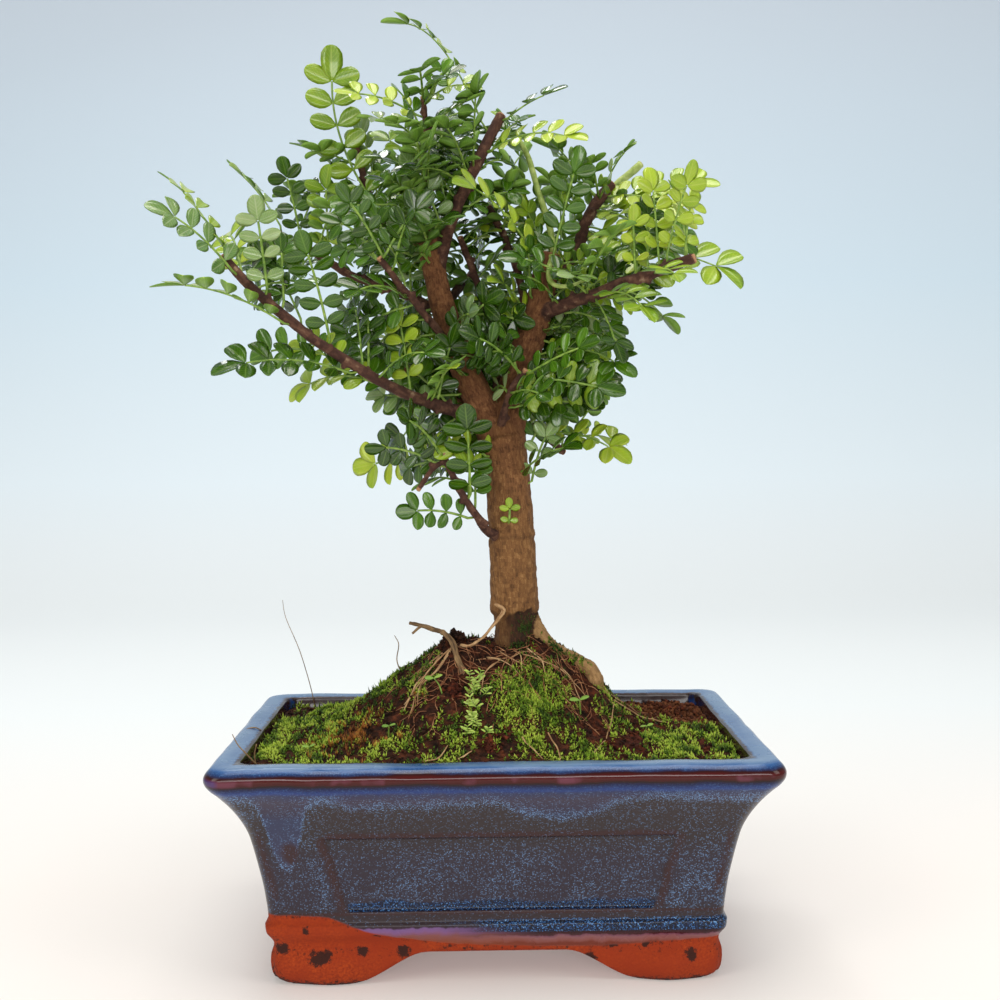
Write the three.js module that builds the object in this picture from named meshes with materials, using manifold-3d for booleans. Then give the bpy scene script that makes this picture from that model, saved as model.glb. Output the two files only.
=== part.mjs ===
// A Japanese pepper bonsai: a small forked tree on a mound of soil in a glazed rectangular bowl.
// Millimetres, +Z up. The bowl stands on z = 0 with its front toward -Y.
import * as THREE from 'three';
import { mergeVertices } from 'three/addons/utils/BufferGeometryUtils.js';
import Module from 'manifold-3d';

const wasm = await Module();
wasm.setup();

// Driving dimensions of the bowl
const BOWL_WIDTH = 155;
const BOWL_DEPTH = 105;
const BOWL_HEIGHT = 64;
const CORNER_RADIUS = 7;
const CORNER_STEPS = 3;
const FLOOR_TOP = 13;
const FOOT_HEIGHT = 9;
const FOOT_GAP = { front: { top: 19, foot: 41 }, side: { top: 9, foot: 23 } };
const DRAIN_RADIUS = 6;
const DRAIN_OFFSET = 30;
const PANEL_SINK = 1;
const PANEL = { low: 21.5, high: 42.5, frontLow: 41, frontHigh: 47, sideLow: 18, sideHigh: 23 };

// Driving dimensions of the soil, the tree and the leaves
const GAP = 0.35;
const LEAF_GAP = 0.5;
const SOIL_LEVEL = 60.6;
const SOIL_INSET = 9.2;
const SOIL_REACHES = [1, 0.9, 0.78, 0.66, 0.55, 0.45, 0.35, 0.26, 0.17, 0.08];
const SOIL_SIDE_POINTS = [6, 3];
const MOUND = { x: 5, y: 4, height: 28, left: 44, right: 31, deep: 36 };
const CLUMP = { x: -12, y: -5, height: 4, radius: 7 };
const TRUNK_END = 70;
const MESH_SIDE = 18;
const MESH_THICKNESS = 1;
const MESH_BAR = 1.4;
const BLADE_THICKNESS = 0.64;
const RIB_WIDTH = 1.3;

// How a feather leaf is laid out
const LEAFLET_RATIO = 0.64;
const PAIR_SPACING = 0.8;
const LEAFLET_FILL = 0.8;
const END_LEAFLET = 1.35;
const PAIR_TO_TIP = 1.5;
const LEAFLET_JOINT = 1.1;
const SMALLEST_LEAFLET = 0.86;
const LEAFLET_LEAN = { along: 0.32, up: 0.18 };
const LEAF_ROUGHNESS = 0.4;

// Outside of the bowl wall: height, and how far it lies inside the widest line of the rim
const WALL = [
  [0, 17.2],
  [5, 16],
  [14.5, 14.9],
  [16, 13.7],
  [18.6, 13.6],
  [19.8, 14.4],
  [27, 13.5],
  [34, 12.2],
  [40, 10.9],
  [44, 9.8],
  [48, 8],
  [52, 5.6],
  [55.6, 2.9],
  [57.6, 1.2],
  [59.4, 0.2],
  [61.2, 0],
  [62.9, 0.9],
  [64, 2.9],
  [63.7, 8.2],
];

// Inside of the bowl wall, from the floor up past the rim
const CAVITY = [
  [FLOOR_TOP, 21],
  [17, 19.4],
  [30, 18],
  [44, 15.6],
  [52, 12.6],
  [58, 9.4],
  [62.6, 8.2],
  [BOWL_HEIGHT + 3, 7.6],
];

const COLOURS = {
  glaze: 0x3d4658,
  soil: 0x3e3320,
  bark: 0x7c5b3d,
  deadWood: 0xb08a62,
  paleRoot: 0xc9a77c,
  drainMesh: 0x2c2c2a,
  greenStem: 0x8fa24a,
  deep: 0x2b6a26,
  bright: 0x7fae3a,
  pale: 0x5f9058,
};

const vector = (place) => new THREE.Vector3(...place);
const plant = new THREE.Group();

function material(colour, roughness) {
  return new THREE.MeshStandardMaterial({ color: COLOURS[colour], roughness, metalness: 0 });
}

function addPiece(name, geometry, colour, roughness = 0.8) {
  const piece = new THREE.Mesh(geometry, material(colour, roughness));
  piece.name = name;
  plant.add(piece);
}

// Joins and cuts work on solids; a geometry's position alone tells its shape
function toSolid(geometry) {
  const bare = geometry.clone();
  bare.deleteAttribute('normal');
  bare.deleteAttribute('uv');
  const merged = mergeVertices(bare, 1e-4);
  return new wasm.Manifold(new wasm.Mesh({
    numProp: 3,
    vertProperties: Float32Array.from(merged.attributes.position.array),
    triVerts: Uint32Array.from(merged.index.array),
  }));
}

function toGeometry(solid) {
  const mesh = solid.getMesh();
  return new THREE.BufferGeometry()
    .setAttribute('position', new THREE.BufferAttribute(mesh.vertProperties, 3))
    .setIndex(new THREE.BufferAttribute(mesh.triVerts, 1));
}

function indexedGeometry(points, triangles) {
  return new THREE.BufferGeometry().setFromPoints(points).setIndex(triangles.flat());
}

// A closed skin over rings of equally many points, counter-clockwise seen from the last ring
function loft(rings) {
  const count = rings[0].length;
  const points = rings.flat();
  const triangles = [];
  for (let ring = 0; ring < rings.length - 1; ring += 1) {
    for (let i = 0; i < count; i += 1) {
      const low = ring * count + i;
      const lowNext = ring * count + ((i + 1) % count);
      triangles.push([low, lowNext, lowNext + count]);
      triangles.push([low, lowNext + count, low + count]);
    }
  }
  const middle = (ring) => ring
    .reduce((sum, point) => sum.add(point), new THREE.Vector3())
    .divideScalar(count);
  const start = points.push(middle(rings[0])) - 1;
  const end = points.push(middle(rings.at(-1))) - 1;
  const last = (rings.length - 1) * count;
  for (let i = 0; i < count; i += 1) {
    const next = (i + 1) % count;
    triangles.push([start, next, i]);
    triangles.push([end, last + i, last + next]);
  }
  return indexedGeometry(points, triangles);
}

// A rectangle with round corners that lies inside the rim's widest line by the inset;
// each long and short side can hold further points between its corners
function bowlRing(height, inset, longSide = 0, shortSide = 0) {
  const radius = Math.max(3, CORNER_RADIUS - 0.2 * inset);
  const x = BOWL_WIDTH / 2 - inset - radius;
  const y = BOWL_DEPTH / 2 - inset - radius;
  const corners = [[x, y], [-x, y], [-x, -y], [x, -y]];
  return corners.flatMap(([cornerX, cornerY], corner) => {
    const points = [];
    for (let step = 0; step <= CORNER_STEPS; step += 1) {
      const angle = (corner + step / CORNER_STEPS) * (Math.PI / 2);
      points.push(new THREE.Vector3(
        cornerX + radius * Math.cos(angle),
        cornerY + radius * Math.sin(angle),
        height,
      ));
    }
    const between = corner % 2 === 0 ? longSide : shortSide;
    const start = points.at(-1);
    const [nextX, nextY] = corners[(corner + 1) % 4];
    const end = start.clone().add(new THREE.Vector3(nextX - cornerX, nextY - cornerY, 0));
    for (let step = 1; step <= between; step += 1) {
      points.push(start.clone().lerp(end, step / (between + 1)));
    }
    return points;
  });
}

// The room under the bowl between two feet: flat on top, with a soft S down to each foot
function footGap({ top, foot }, length) {
  const outline = new THREE.Shape();
  outline.moveTo(-foot, -1);
  outline.lineTo(-foot, 0);
  outline.bezierCurveTo(-foot + 9, 0, -top - 9, FOOT_HEIGHT, -top, FOOT_HEIGHT);
  outline.lineTo(top, FOOT_HEIGHT);
  outline.bezierCurveTo(top + 9, FOOT_HEIGHT, foot - 9, 0, foot, 0);
  outline.lineTo(foot, -1);
  const geometry = new THREE.ExtrudeGeometry(outline, {
    depth: length,
    bevelEnabled: false,
    curveSegments: 6,
  });
  return geometry.translate(0, 0, -length / 2).rotateX(Math.PI / 2);
}

// A trapezoid block as wide as the sunk panel, reaching through the bowl from front to back
function panelBlock(halfLow, halfHigh, length) {
  const outline = new THREE.Shape([
    new THREE.Vector2(-halfLow, PANEL.low),
    new THREE.Vector2(halfLow, PANEL.low),
    new THREE.Vector2(halfHigh, PANEL.high),
    new THREE.Vector2(-halfHigh, PANEL.high),
  ]);
  const geometry = new THREE.ExtrudeGeometry(outline, { depth: length, bevelEnabled: false });
  return geometry.translate(0, 0, -length / 2).rotateX(Math.PI / 2);
}

function makeBowl() {
  const outside = toSolid(loft(WALL.map(([height, inset]) => bowlRing(height, inset))));
  const core = toSolid(loft(WALL.map(([height, inset]) => bowlRing(height, inset + PANEL_SINK))));
  const cavity = toSolid(loft(CAVITY.map(([height, inset]) => bowlRing(height, inset))));
  const panels = toSolid(panelBlock(PANEL.frontLow, PANEL.frontHigh, BOWL_DEPTH))
    .add(toSolid(panelBlock(PANEL.sideLow, PANEL.sideHigh, BOWL_WIDTH).rotateZ(Math.PI / 2)));
  let bowl = outside
    .subtract(panels.subtract(core))
    .subtract(cavity)
    .subtract(toSolid(footGap(FOOT_GAP.front, BOWL_DEPTH)))
    .subtract(toSolid(footGap(FOOT_GAP.side, BOWL_WIDTH).rotateZ(Math.PI / 2)));
  for (const side of [-1, 1]) {
    const drain = new THREE.CylinderGeometry(DRAIN_RADIUS, DRAIN_RADIUS, 2 * FLOOR_TOP, 16);
    drain.rotateX(Math.PI / 2).translate(side * DRAIN_OFFSET, 0, FLOOR_TOP);
    bowl = bowl.subtract(toSolid(drain));
  }
  return bowl;
}

function box(width, depth, height, x, y, z) {
  return toSolid(new THREE.BoxGeometry(width, depth, height).translate(x, y, z));
}

// A square of plastic mesh, two bars each way inside its border
function makeDrainMesh(x) {
  const middle = FLOOR_TOP + GAP + MESH_THICKNESS / 2;
  const pitch = MESH_SIDE / 3;
  const opening = pitch - MESH_BAR;
  let mesh = box(MESH_SIDE, MESH_SIDE, MESH_THICKNESS, x, 0, middle);
  for (let row = -1; row <= 1; row += 1) {
    for (let column = -1; column <= 1; column += 1) {
      mesh = mesh.subtract(box(opening, opening, 3, x + row * pitch, column * pitch, middle));
    }
  }
  return mesh;
}

// The mound falls faster on the right, with a clump on its left shoulder and small waves
function soilHeight(x, y) {
  const reachX = x < MOUND.x ? MOUND.left : MOUND.right;
  const away = Math.hypot((x - MOUND.x) / reachX, (y - MOUND.y) / MOUND.deep);
  const waves = 0.5 * Math.sin(0.31 * x + 1.1) * Math.cos(0.27 * y)
    + 0.35 * Math.sin(0.52 * y + 0.4 * x);
  const offClump = Math.hypot(x - CLUMP.x, y - CLUMP.y) / CLUMP.radius;
  const clump = CLUMP.height * Math.exp(-(offClump ** 2));
  return SOIL_LEVEL + MOUND.height * Math.exp(-(away ** 3)) + clump + waves;
}

// Soil fills the bowl with a hair's gap and rises in rings to the top of the mound
function makeSoil(holes) {
  const inside = CAVITY.filter(([height]) => height < SOIL_LEVEL - 2);
  const rings = inside.map(([height, inset], index) => (
    bowlRing(height + (index === 0 ? GAP : 0), inset + GAP, ...SOIL_SIDE_POINTS)
  ));
  const edge = bowlRing(0, SOIL_INSET, ...SOIL_SIDE_POINTS);
  for (const reach of SOIL_REACHES) {
    rings.push(edge.map((point) => {
      const x = MOUND.x + reach * (point.x - MOUND.x);
      const y = MOUND.y + reach * (point.y - MOUND.y);
      return new THREE.Vector3(x, y, soilHeight(x, y));
    }));
  }
  let soil = toSolid(loft(rings));
  const pocketSide = MESH_SIDE + 2 * GAP;
  const pocketHeight = 2 * (MESH_THICKNESS + 2 * GAP);
  for (const side of [-1, 1]) {
    soil = soil.subtract(box(pocketSide, pocketSide, pocketHeight, side * DRAIN_OFFSET, 0, FLOOR_TOP));
  }
  for (const hole of holes) {
    soil = soil.subtract(hole);
  }
  return soil;
}

// Woody parts: route from the root end to the cut end, radius at each end, and number of sides
const WOOD = {
  trunk: {
    route: [[7, 0, TRUNK_END], [7, 0, 80], [7, 0, 90], [6.6, 0, 99], [6.3, 0, 109], [6, 0, 119],
      [5.4, 0, 130], [4.6, 0, 141], [3, 0, 151]],
    radii: [5.4, 6.6, 6.9, 7.2, 6.9, 7.1, 6.7, 6.5, 7.2],
    sides: 12,
  },
  left_leader: {
    route: [[2.6, 0, 147], [-2, 0, 159], [-8, 1, 172], [-13, 2, 186], [-16, 2, 198], [-19, 1, 211],
      [-23, 0, 224]],
    radii: [5.6, 4.7, 4.3, 3.9, 3.5, 3.2, 2.9],
    sides: 9,
  },
  right_leader: {
    route: [[3, 0, 147], [6, 1, 160], [9, 2, 171], [12, 3, 181], [15, 4, 191], [18, 4, 206]],
    radii: [6.4, 5.5, 5, 4.6, 4.3, 3.6],
    sides: 9,
  },
  low_left: {
    route: [[-3, 0, 157], [-9, -4, 158.5], [-15, -10, 160], [-25, -18, 163.6], [-38, -25, 170.8],
      [-50, -31, 179.2], [-63, -35, 190], [-72, -37, 200]],
    radii: [2.4, 2.1, 1.9, 1.8, 1.7, 1.6, 1.5, 1.3],
    sides: 6,
  },
  high_left: {
    route: [[-13, 2, 187], [-20, 8, 192], [-31, 14, 197], [-45, 17, 203], [-56, 19, 210], [-67, 20, 216]],
    radii: [1.8, 1.5, 1.4, 1.3, 1.2, 1.1],
    sides: 6,
  },
  front_left: {
    route: [[-9, 0, 175], [-17, -10, 184], [-23, -17, 191], [-31, -24, 201]],
    radii: [1.5, 1.2, 1.1, 1],
    sides: 6,
  },
  upper_left: {
    route: [[-17, 1, 204], [-25, 14, 212], [-33, 22, 219], [-38, 25, 229], [-43, 27, 247]],
    radii: [1.7, 1.3, 1.2, 1.2, 1.2],
    sides: 6,
  },
  stub_left: {
    route: [[-3, 1, 155], [-14, 10, 163], [-24, 18, 171], [-32, 24, 178]],
    radii: [3.2, 3, 2.9, 2.8],
    sides: 8,
  },
  top_stub: {
    route: [[-19, 1, 212], [-18, -4, 226], [-18, -6, 240], [-19, -7, 250]],
    radii: [1.5, 1.1, 1, 0.9],
    sides: 6,
  },
  top_branch: {
    route: [[-16, 2, 199], [-12, 0, 213], [-7, 1, 225], [-3, 3, 234], [4, 6, 248]],
    radii: [2.2, 1.9, 1.8, 1.8, 1.7],
    sides: 6,
  },
  mid_left: {
    route: [[1, 2, 151], [2, 10, 178], [-3, 13, 196], [-9, 15, 213]],
    radii: [1.8, 1.3, 1.2, 1.1],
    sides: 6,
  },
  mid_right: {
    route: [[12, 4, 180], [10, 15, 197], [6, 21, 211], [0, 24, 224]],
    radii: [1.9, 1.4, 1.3, 1.2],
    sides: 6,
  },
  right_branch: {
    route: [[14, 3, 187], [22, -2, 190], [33, -9, 193], [45, -14, 197], [58, -20, 201]],
    radii: [2.6, 2.2, 2.1, 2, 1.7],
    sides: 7,
  },
  right_upper: {
    route: [[16, 4, 191], [21, 13, 199], [27, 18, 209], [32, 21, 221], [39, 24, 231]],
    radii: [2.1, 1.9, 1.9, 1.9, 1.8],
    sides: 6,
  },
  front_right: {
    route: [[2, -2, 151], [4, -10, 159], [6, -12, 165], [10, -15, 170]],
    radii: [1.5, 1.1, 1, 1],
    sides: 6,
  },
  low_right: {
    route: [[4, 1, 150], [12, 11, 154], [17, 16, 151], [23, 21, 146]],
    radii: [1.7, 1.3, 1.2, 1.2],
    sides: 6,
  },
  side_shoot: {
    route: [[3, -2, 120], [-2, -8, 124], [-6, -13, 130], [-10, -16, 137], [-14, -18, 146]],
    radii: [1.7, 1.4, 1.2, 1.1, 1],
    sides: 6,
  },
  side_twig: {
    route: [[-13, -18, 144.5], [-17, -20, 142], [-21, -22, 136]],
    radii: [0.9, 0.8, 0.8],
    sides: 5,
  },
  back_branch: {
    route: [[-13, 3, 186], [-14, 18, 192], [-9, 33, 200], [-4, 44, 208]],
    radii: [2, 1.6, 1.4, 1.3],
    sides: 6,
  },
  back_right: {
    route: [[13, 4, 183], [19, 20, 187], [29, 33, 192]],
    radii: [1.9, 1.5, 1.3],
    sides: 6,
  },
  surface_root: {
    route: [[9, -1, 96], [14, -4, 93.5], [20, -6, 88.5], [26, -7, 82.5], [30, -8, 78.5], [31.5, -9, 75]],
    radii: [2.2, 2.2, 2.2, 2.4, 2.9, 2.3],
    sides: 8,
  },
};

const GREEN_SHOOTS = {
  green_shoot_tall: {
    route: [[19.5, 5.5, 206.4], [18.6, 8.6, 214], [15, 11, 227], [12.6, 12.5, 236], [9.8, 14, 242]],
    radii: [1.1, 1, 0.9, 0.9, 0.8],
    sides: 6,
  },
  green_shoot_right: {
    route: [[36.9, 25.9, 225.3], [40, 27.6, 230], [44.5, 28, 234], [49, 28, 238]],
    radii: [1.3, 1.3, 1.2, 1.2],
    sides: 6,
  },
};

const DEAD_TWIG = {
  route: [[-7.6, -19, 76], [-9, -15, 83], [-11.1, -11, 88], [-13, -9, 91.5], [-15.4, -8, 93.6],
    [-19, -6, 94.4], [-25, -4, 95.6]],
  radii: [1, 1, 0.9, 0.9, 0.8, 0.8, 0.7],
  sides: 6,
};

const DEAD_TWIG_FORK = {
  route: [[-18, -6.4, 94.2], [-21, -7, 95], [-24, -8, 93]],
  radii: [0.7, 0.6, 0.6],
  sides: 5,
};

const LOOSE_ROOT = {
  route: [[0.6, -8.4, 101.6], [3.2, -7.5, 99.6], [1.7, -8.2, 97], [-1, -9.4, 94.6], [-4, -9.6, 91.6],
    [-7, -9, 89.4], [-11, -8, 89.4], [-14, -10, 86.4], [-17, -12, 82.6], [-21, -14, 78.9]],
  radii: [0.6, 0.7, 0.7, 0.7, 0.7, 0.7, 0.7, 0.6, 0.6, 0.5],
  sides: 5,
};

function routeCurve(route) {
  return new THREE.CatmullRomCurve3(route.map(vector), false, 'catmullrom', 0.5);
}

function radiusAt(radii, t) {
  const place = t * (radii.length - 1);
  const index = Math.min(Math.floor(place), radii.length - 2);
  return THREE.MathUtils.lerp(radii[index], radii[index + 1], place - index);
}

// A tapered stem with flat cut ends; each ring is turned as little as possible from the last
function stem({ route, radii, sides }, swell = 0) {
  const curve = routeCurve(route);
  const steps = route.length - 1;
  const side = new THREE.Vector3(0.31, 0.95, 0.05);
  const rings = [];
  for (let step = 0; step <= steps; step += 1) {
    const t = step / steps;
    const centre = curve.getPoint(t);
    const along = curve.getTangent(t);
    side.addScaledVector(along, -side.dot(along)).normalize();
    const across = new THREE.Vector3().crossVectors(along, side);
    const radius = radiusAt(radii, t) + swell;
    const ring = [];
    for (let i = 0; i < sides; i += 1) {
      const angle = (2 * Math.PI * i) / sides;
      ring.push(centre.clone()
        .addScaledVector(side, radius * Math.cos(angle))
        .addScaledVector(across, radius * Math.sin(angle)));
    }
    rings.push(ring);
  }
  return toSolid(loft(rings));
}

function makeTree() {
  const [trunk, ...others] = Object.values(WOOD).map((wood) => stem(wood));
  return others.reduce((tree, wood) => tree.add(wood), trunk);
}

// Which way a leaf's upper face looks
const FACES = {
  up: [0, 0, 1],
  front: [0, -1, 0.25],
  slant: [0, -0.7, 0.7],
  back: [0, 0.8, 0.6],
  rightward: [0.75, -0.15, 0.6],
  leftward: [-0.6, -0.15, 0.75],
};

// Each leaf: the wood that carries it, how far along, the tip of its last leaflet, pairs, face, colour
// and how high the rib arches above the straight line
const LEAVES = [
  ['low_left', 0.97, [-88, -36, 223], 4, 'rightward', 'bright', 2],
  ['low_left', 0.93, [-88, -52, 211], 4, 'slant', 'pale', 3],
  ['low_left', 0.76, [-88, -53, 190], 4, 'up', 'bright', 4],
  ['low_left', 0.84, [-62, -44, 214], 3, 'front', 'pale', 2],
  ['low_left', 0.56, [-75, -45, 168], 5, 'slant', 'deep', 4],
  ['low_left', 0.5, [-61, -8, 161], 4, 'slant', 'bright', 5],
  ['low_left', 0.34, [-9, -36, 170], 3, 'slant', 'bright', 3],
  ['low_left', 0.66, [-49, -52, 203], 4, 'front', 'deep', 3],
  ['high_left', 0.97, [-83, 27, 238], 4, 'rightward', 'bright', 3],
  ['high_left', 0.86, [-63, 9, 236], 3, 'front', 'deep', 2],
  ['high_left', 0.7, [-49, 3, 232], 4, 'front', 'bright', 2],
  ['high_left', 0.8, [-84, 40, 206], 4, 'up', 'deep', 5],
  ['front_left', 0.97, [-42, -32, 219], 3, 'front', 'deep', 2],
  ['front_left', 0.7, [-40, -44, 186], 4, 'slant', 'deep', 4],
  ['upper_left', 0.5, [-46, 13, 272], 4, 'front', 'bright', [-7, 0, 0]],
  ['upper_left', 0.66, [-63, 32, 246], 4, 'up', 'deep', 4],
  ['upper_left', 0.5, [-52, 50, 228], 4, 'up', 'deep', 5],
  ['top_stub', 0.8, [-45, -12, 249], 4, 'slant', 'bright', 3],
  ['top_stub', 0.93, [-11, -3, 262], 3, 'front', 'deep', 1],
  ['top_stub', 0.5, [-29, -30, 237], 3, 'up', 'pale', 3],
  ['top_branch', 0.9, [-30, 8, 275], 5, 'rightward', 'bright', 11],
  ['top_branch', 0.97, [24, -3, 253], 3, 'leftward', 'deep', 2],
  ['top_branch', 0.8, [29, -16, 233], 4, 'slant', 'bright', 5],
  ['top_branch', 0.5, [-25, -32, 221], 4, 'up', 'deep', 4],
  ['right_leader', 0.96, [-10, -24, 222], 4, 'slant', 'bright', 5],
  ['right_upper', 0.72, [52, 50, 230], 3, 'up', 'bright', 3],
  ['right_upper', 0.8, [73, 16, 228], 4, 'slant', 'deep', 4],
  ['right_leader', 0.95, [27, -10, 235], 4, 'front', 'deep', 1],
  ['right_upper', 0.6, [77, -9, 195], 5, 'slant', 'bright', 3],
  ['right_branch', 0.8, [51, -43, 190], 3, 'slant', 'bright', 3],
  ['right_branch', 0.5, [44, -43, 180], 4, 'slant', 'bright', 4],
  ['right_branch', 0.6, [58, 10, 181], 4, 'up', 'deep', 3],
  ['right_branch', 0.42, [36, -37, 207], 4, 'slant', 'deep', 4],
  ['right_leader', 0.5, [42, -24, 166], 5, 'slant', 'deep', 5],
  ['right_leader', 0.35, [38, 14, 161], 4, 'up', 'bright', 4],
  ['low_right', 0.93, [46, 34, 146], 4, 'slant', 'bright', 4],
  ['low_right', 0.6, [44, 2, 141], 4, 'slant', 'bright', 4],
  ['trunk', 0.86, [25, -27, 147], 4, 'slant', 'deep', 3],
  ['trunk', 0.93, [-46, 26, 140], 5, 'front', 'bright', 3],
  ['side_shoot', 1, [-26, -41, 156], 3, 'front', 'deep', 3],
  ['side_shoot', 0.6, [-7, -32, 160], 4, 'front', 'deep', 1],
  ['side_shoot', 0.42, [-28, -24, 129], 4, 'front', 'deep', 2],
  ['front_right', 0.93, [-8, -36, 178], 3, 'front', 'deep', 3],
  ['front_right', 0.6, [16, -36, 160], 3, 'front', 'deep', 2],
  ['left_leader', 0.3, [-21, -31, 173], 3, 'slant', 'deep', 3],
  ['back_branch', 0.96, [4, 62, 222], 4, 'back', 'deep', 4],
  ['back_branch', 0.75, [-34, 54, 204], 4, 'back', 'bright', 4],
  ['back_branch', 0.5, [12, 46, 186], 4, 'back', 'deep', 4],
  ['back_right', 0.95, [46, 52, 204], 4, 'back', 'deep', 4],
  ['mid_right', 0.96, [14, 42, 246], 4, 'back', 'bright', 4],
];

const SPROUT = {
  base: [5, -7.5, 125.6], tip: [5.4, -10.5, 136], pairs: 2, face: 'front', colour: 'bright', arch: -1,
};

// The rib of a leaf: it starts on the bark and arches to the tip, as a rule upward
function ribCurve(base, tip, arch) {
  const bow = Array.isArray(arch) ? vector(arch) : new THREE.Vector3(0, 0, arch);
  const middle = base.clone().add(tip).multiplyScalar(0.5).addScaledVector(bow, 2);
  return new THREE.QuadraticBezierCurve3(base, middle, tip);
}

// One side of a leaflet's outline: share of its length, share of its half width
const LEAFLET_SIDE = [
  [0.34, 0.8],
  [0.78, 1],
];

// A feather leaf in one thin arched blade: leaflet pairs cut to the rib, and one at the end
function featherLeaf({ base, tip, pairs, face, arch }) {
  const curve = ribCurve(base, tip, arch);
  const length = base.distanceTo(tip);
  const spacing = (PAIR_SPACING * length) / (pairs + 0.9);
  const lateral = (LEAFLET_FILL * spacing) / LEAFLET_RATIO;
  const first = 1 - (PAIR_TO_TIP * lateral + (pairs - 1) * spacing) / length;
  const ribEnd = 1 - (END_LEAFLET * lateral) / length;
  const facing = vector(FACES[face]).normalize();
  const tops = [];
  const downs = [];
  const triangles = [];

  function frameAt(t) {
    const along = curve.getTangent(t);
    const up = facing.clone().addScaledVector(along, -facing.dot(along)).normalize();
    return { centre: curve.getPoint(t), along, up, across: new THREE.Vector3().crossVectors(along, up) };
  }

  function addPoint(place, up) {
    tops.push(place.clone().addScaledVector(up, BLADE_THICKNESS / 2));
    downs.push(place.clone().addScaledVector(up, -BLADE_THICKNESS / 2));
    return tops.length - 1;
  }

  function ribPoints(t) {
    const { centre, across, up } = frameAt(t);
    return [-1, 1].map((side) => (
      addPoint(centre.clone().addScaledVector(across, (side * RIB_WIDTH) / 2), up)
    ));
  }

  // A leaflet grows from the rib's edge (from, to); sideways points from the first toward the second
  function leaflet(from, to, { centre, direction, sideways, up, size }) {
    const place = (share, half) => addPoint(
      centre.clone()
        .addScaledVector(direction, share * size)
        .addScaledVector(sideways, (half * size * LEAFLET_RATIO) / 2),
      up,
    );
    const near = LEAFLET_SIDE.map(([share, half]) => place(share, -half));
    const end = place(1, 0);
    const far = LEAFLET_SIDE.map(([share, half]) => place(share, half));
    triangles.push([from, near[0], far[0]], [from, far[0], to]);
    triangles.push([near[0], near[1], far[1]], [near[0], far[1], far[0]], [near[1], end, far[1]]);
    return [...near, end, ...far.toReversed()];
  }

  const left = [];
  const right = [];
  let [lastLeft, lastRight] = ribPoints(0);
  left.push(lastLeft);
  right.push(lastRight);

  function bridge(nextLeft, nextRight) {
    triangles.push([lastLeft, lastRight, nextRight], [lastLeft, nextRight, nextLeft]);
    left.push(nextLeft);
    right.push(nextRight);
    [lastLeft, lastRight] = [nextLeft, nextRight];
  }

  for (let pair = 0; pair < pairs; pair += 1) {
    const t = THREE.MathUtils.lerp(first, ribEnd, pair / (pairs - 1));
    const joint = LEAFLET_JOINT / length;
    const [lowLeft, lowRight] = ribPoints(t - joint);
    bridge(lowLeft, lowRight);
    const [highLeft, highRight] = ribPoints(t);
    triangles.push([lowLeft, lowRight, highRight], [lowLeft, highRight, highLeft]);
    const { centre, along, across, up } = frameAt(t - joint / 2);
    const size = lateral * THREE.MathUtils.lerp(SMALLEST_LEAFLET, 1, pair / (pairs - 1));
    for (const side of [-1, 1]) {
      const direction = across.clone().multiplyScalar(side)
        .addScaledVector(along, LEAFLET_LEAN.along)
        .addScaledVector(up, LEAFLET_LEAN.up)
        .normalize();
      const sideways = along.clone().addScaledVector(direction, -along.dot(direction)).normalize();
      sideways.multiplyScalar(side);
      const shape = { centre, direction, sideways, up, size };
      if (side < 0) {
        left.push(...leaflet(highLeft, lowLeft, shape).toReversed());
      } else {
        right.push(...leaflet(lowRight, highRight, shape));
      }
    }
    left.push(highLeft);
    right.push(highRight);
    [lastLeft, lastRight] = [highLeft, highRight];
  }

  const { centre, along, across, up } = frameAt(ribEnd);
  const sideways = across.negate();
  const size = END_LEAFLET * lateral;
  const last = leaflet(lastRight, lastLeft, { centre, direction: along, sideways, up, size });
  const rim = [...right, ...last, ...left.toReversed()];

  const count = tops.length;
  const faces = triangles.flatMap(([a, b, c]) => [[a, b, c], [c + count, b + count, a + count]]);
  rim.forEach((point, index) => {
    const next = rim[(index + 1) % rim.length];
    faces.push([point, point + count, next + count], [point, next + count, next]);
  });
  return indexedGeometry([...tops, ...downs], faces);
}

// Where a leaf leaves the bark: on the side of the wood that looks toward its tip
function leafBase(wood, share, tip) {
  const curve = routeCurve(wood.route);
  const centre = curve.getPoint(share);
  const along = curve.getTangent(share);
  const outward = tip.clone().sub(centre);
  outward.addScaledVector(along, -outward.dot(along)).normalize();
  return centre.addScaledVector(outward, radiusAt(wood.radii, share) + LEAF_GAP);
}

addPiece('bowl', toGeometry(makeBowl()), 'glaze', 0.3);
addPiece('drain_mesh_left', toGeometry(makeDrainMesh(-DRAIN_OFFSET)), 'drainMesh', 0.6);
addPiece('drain_mesh_right', toGeometry(makeDrainMesh(DRAIN_OFFSET)), 'drainMesh', 0.6);

const holes = [WOOD.trunk, WOOD.surface_root, DEAD_TWIG, LOOSE_ROOT].map((wood) => stem(wood, GAP));
addPiece('soil_mound', toGeometry(makeSoil(holes)), 'soil', 1);
addPiece('trunk_and_branches', toGeometry(makeTree()), 'bark');
addPiece('dead_twig', toGeometry(stem(DEAD_TWIG).add(stem(DEAD_TWIG_FORK))), 'deadWood');
addPiece('loose_root', toGeometry(stem(LOOSE_ROOT)), 'paleRoot');
for (const [name, shoot] of Object.entries(GREEN_SHOOTS)) {
  addPiece(name, toGeometry(stem(shoot)), 'greenStem', 0.5);
}

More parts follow.
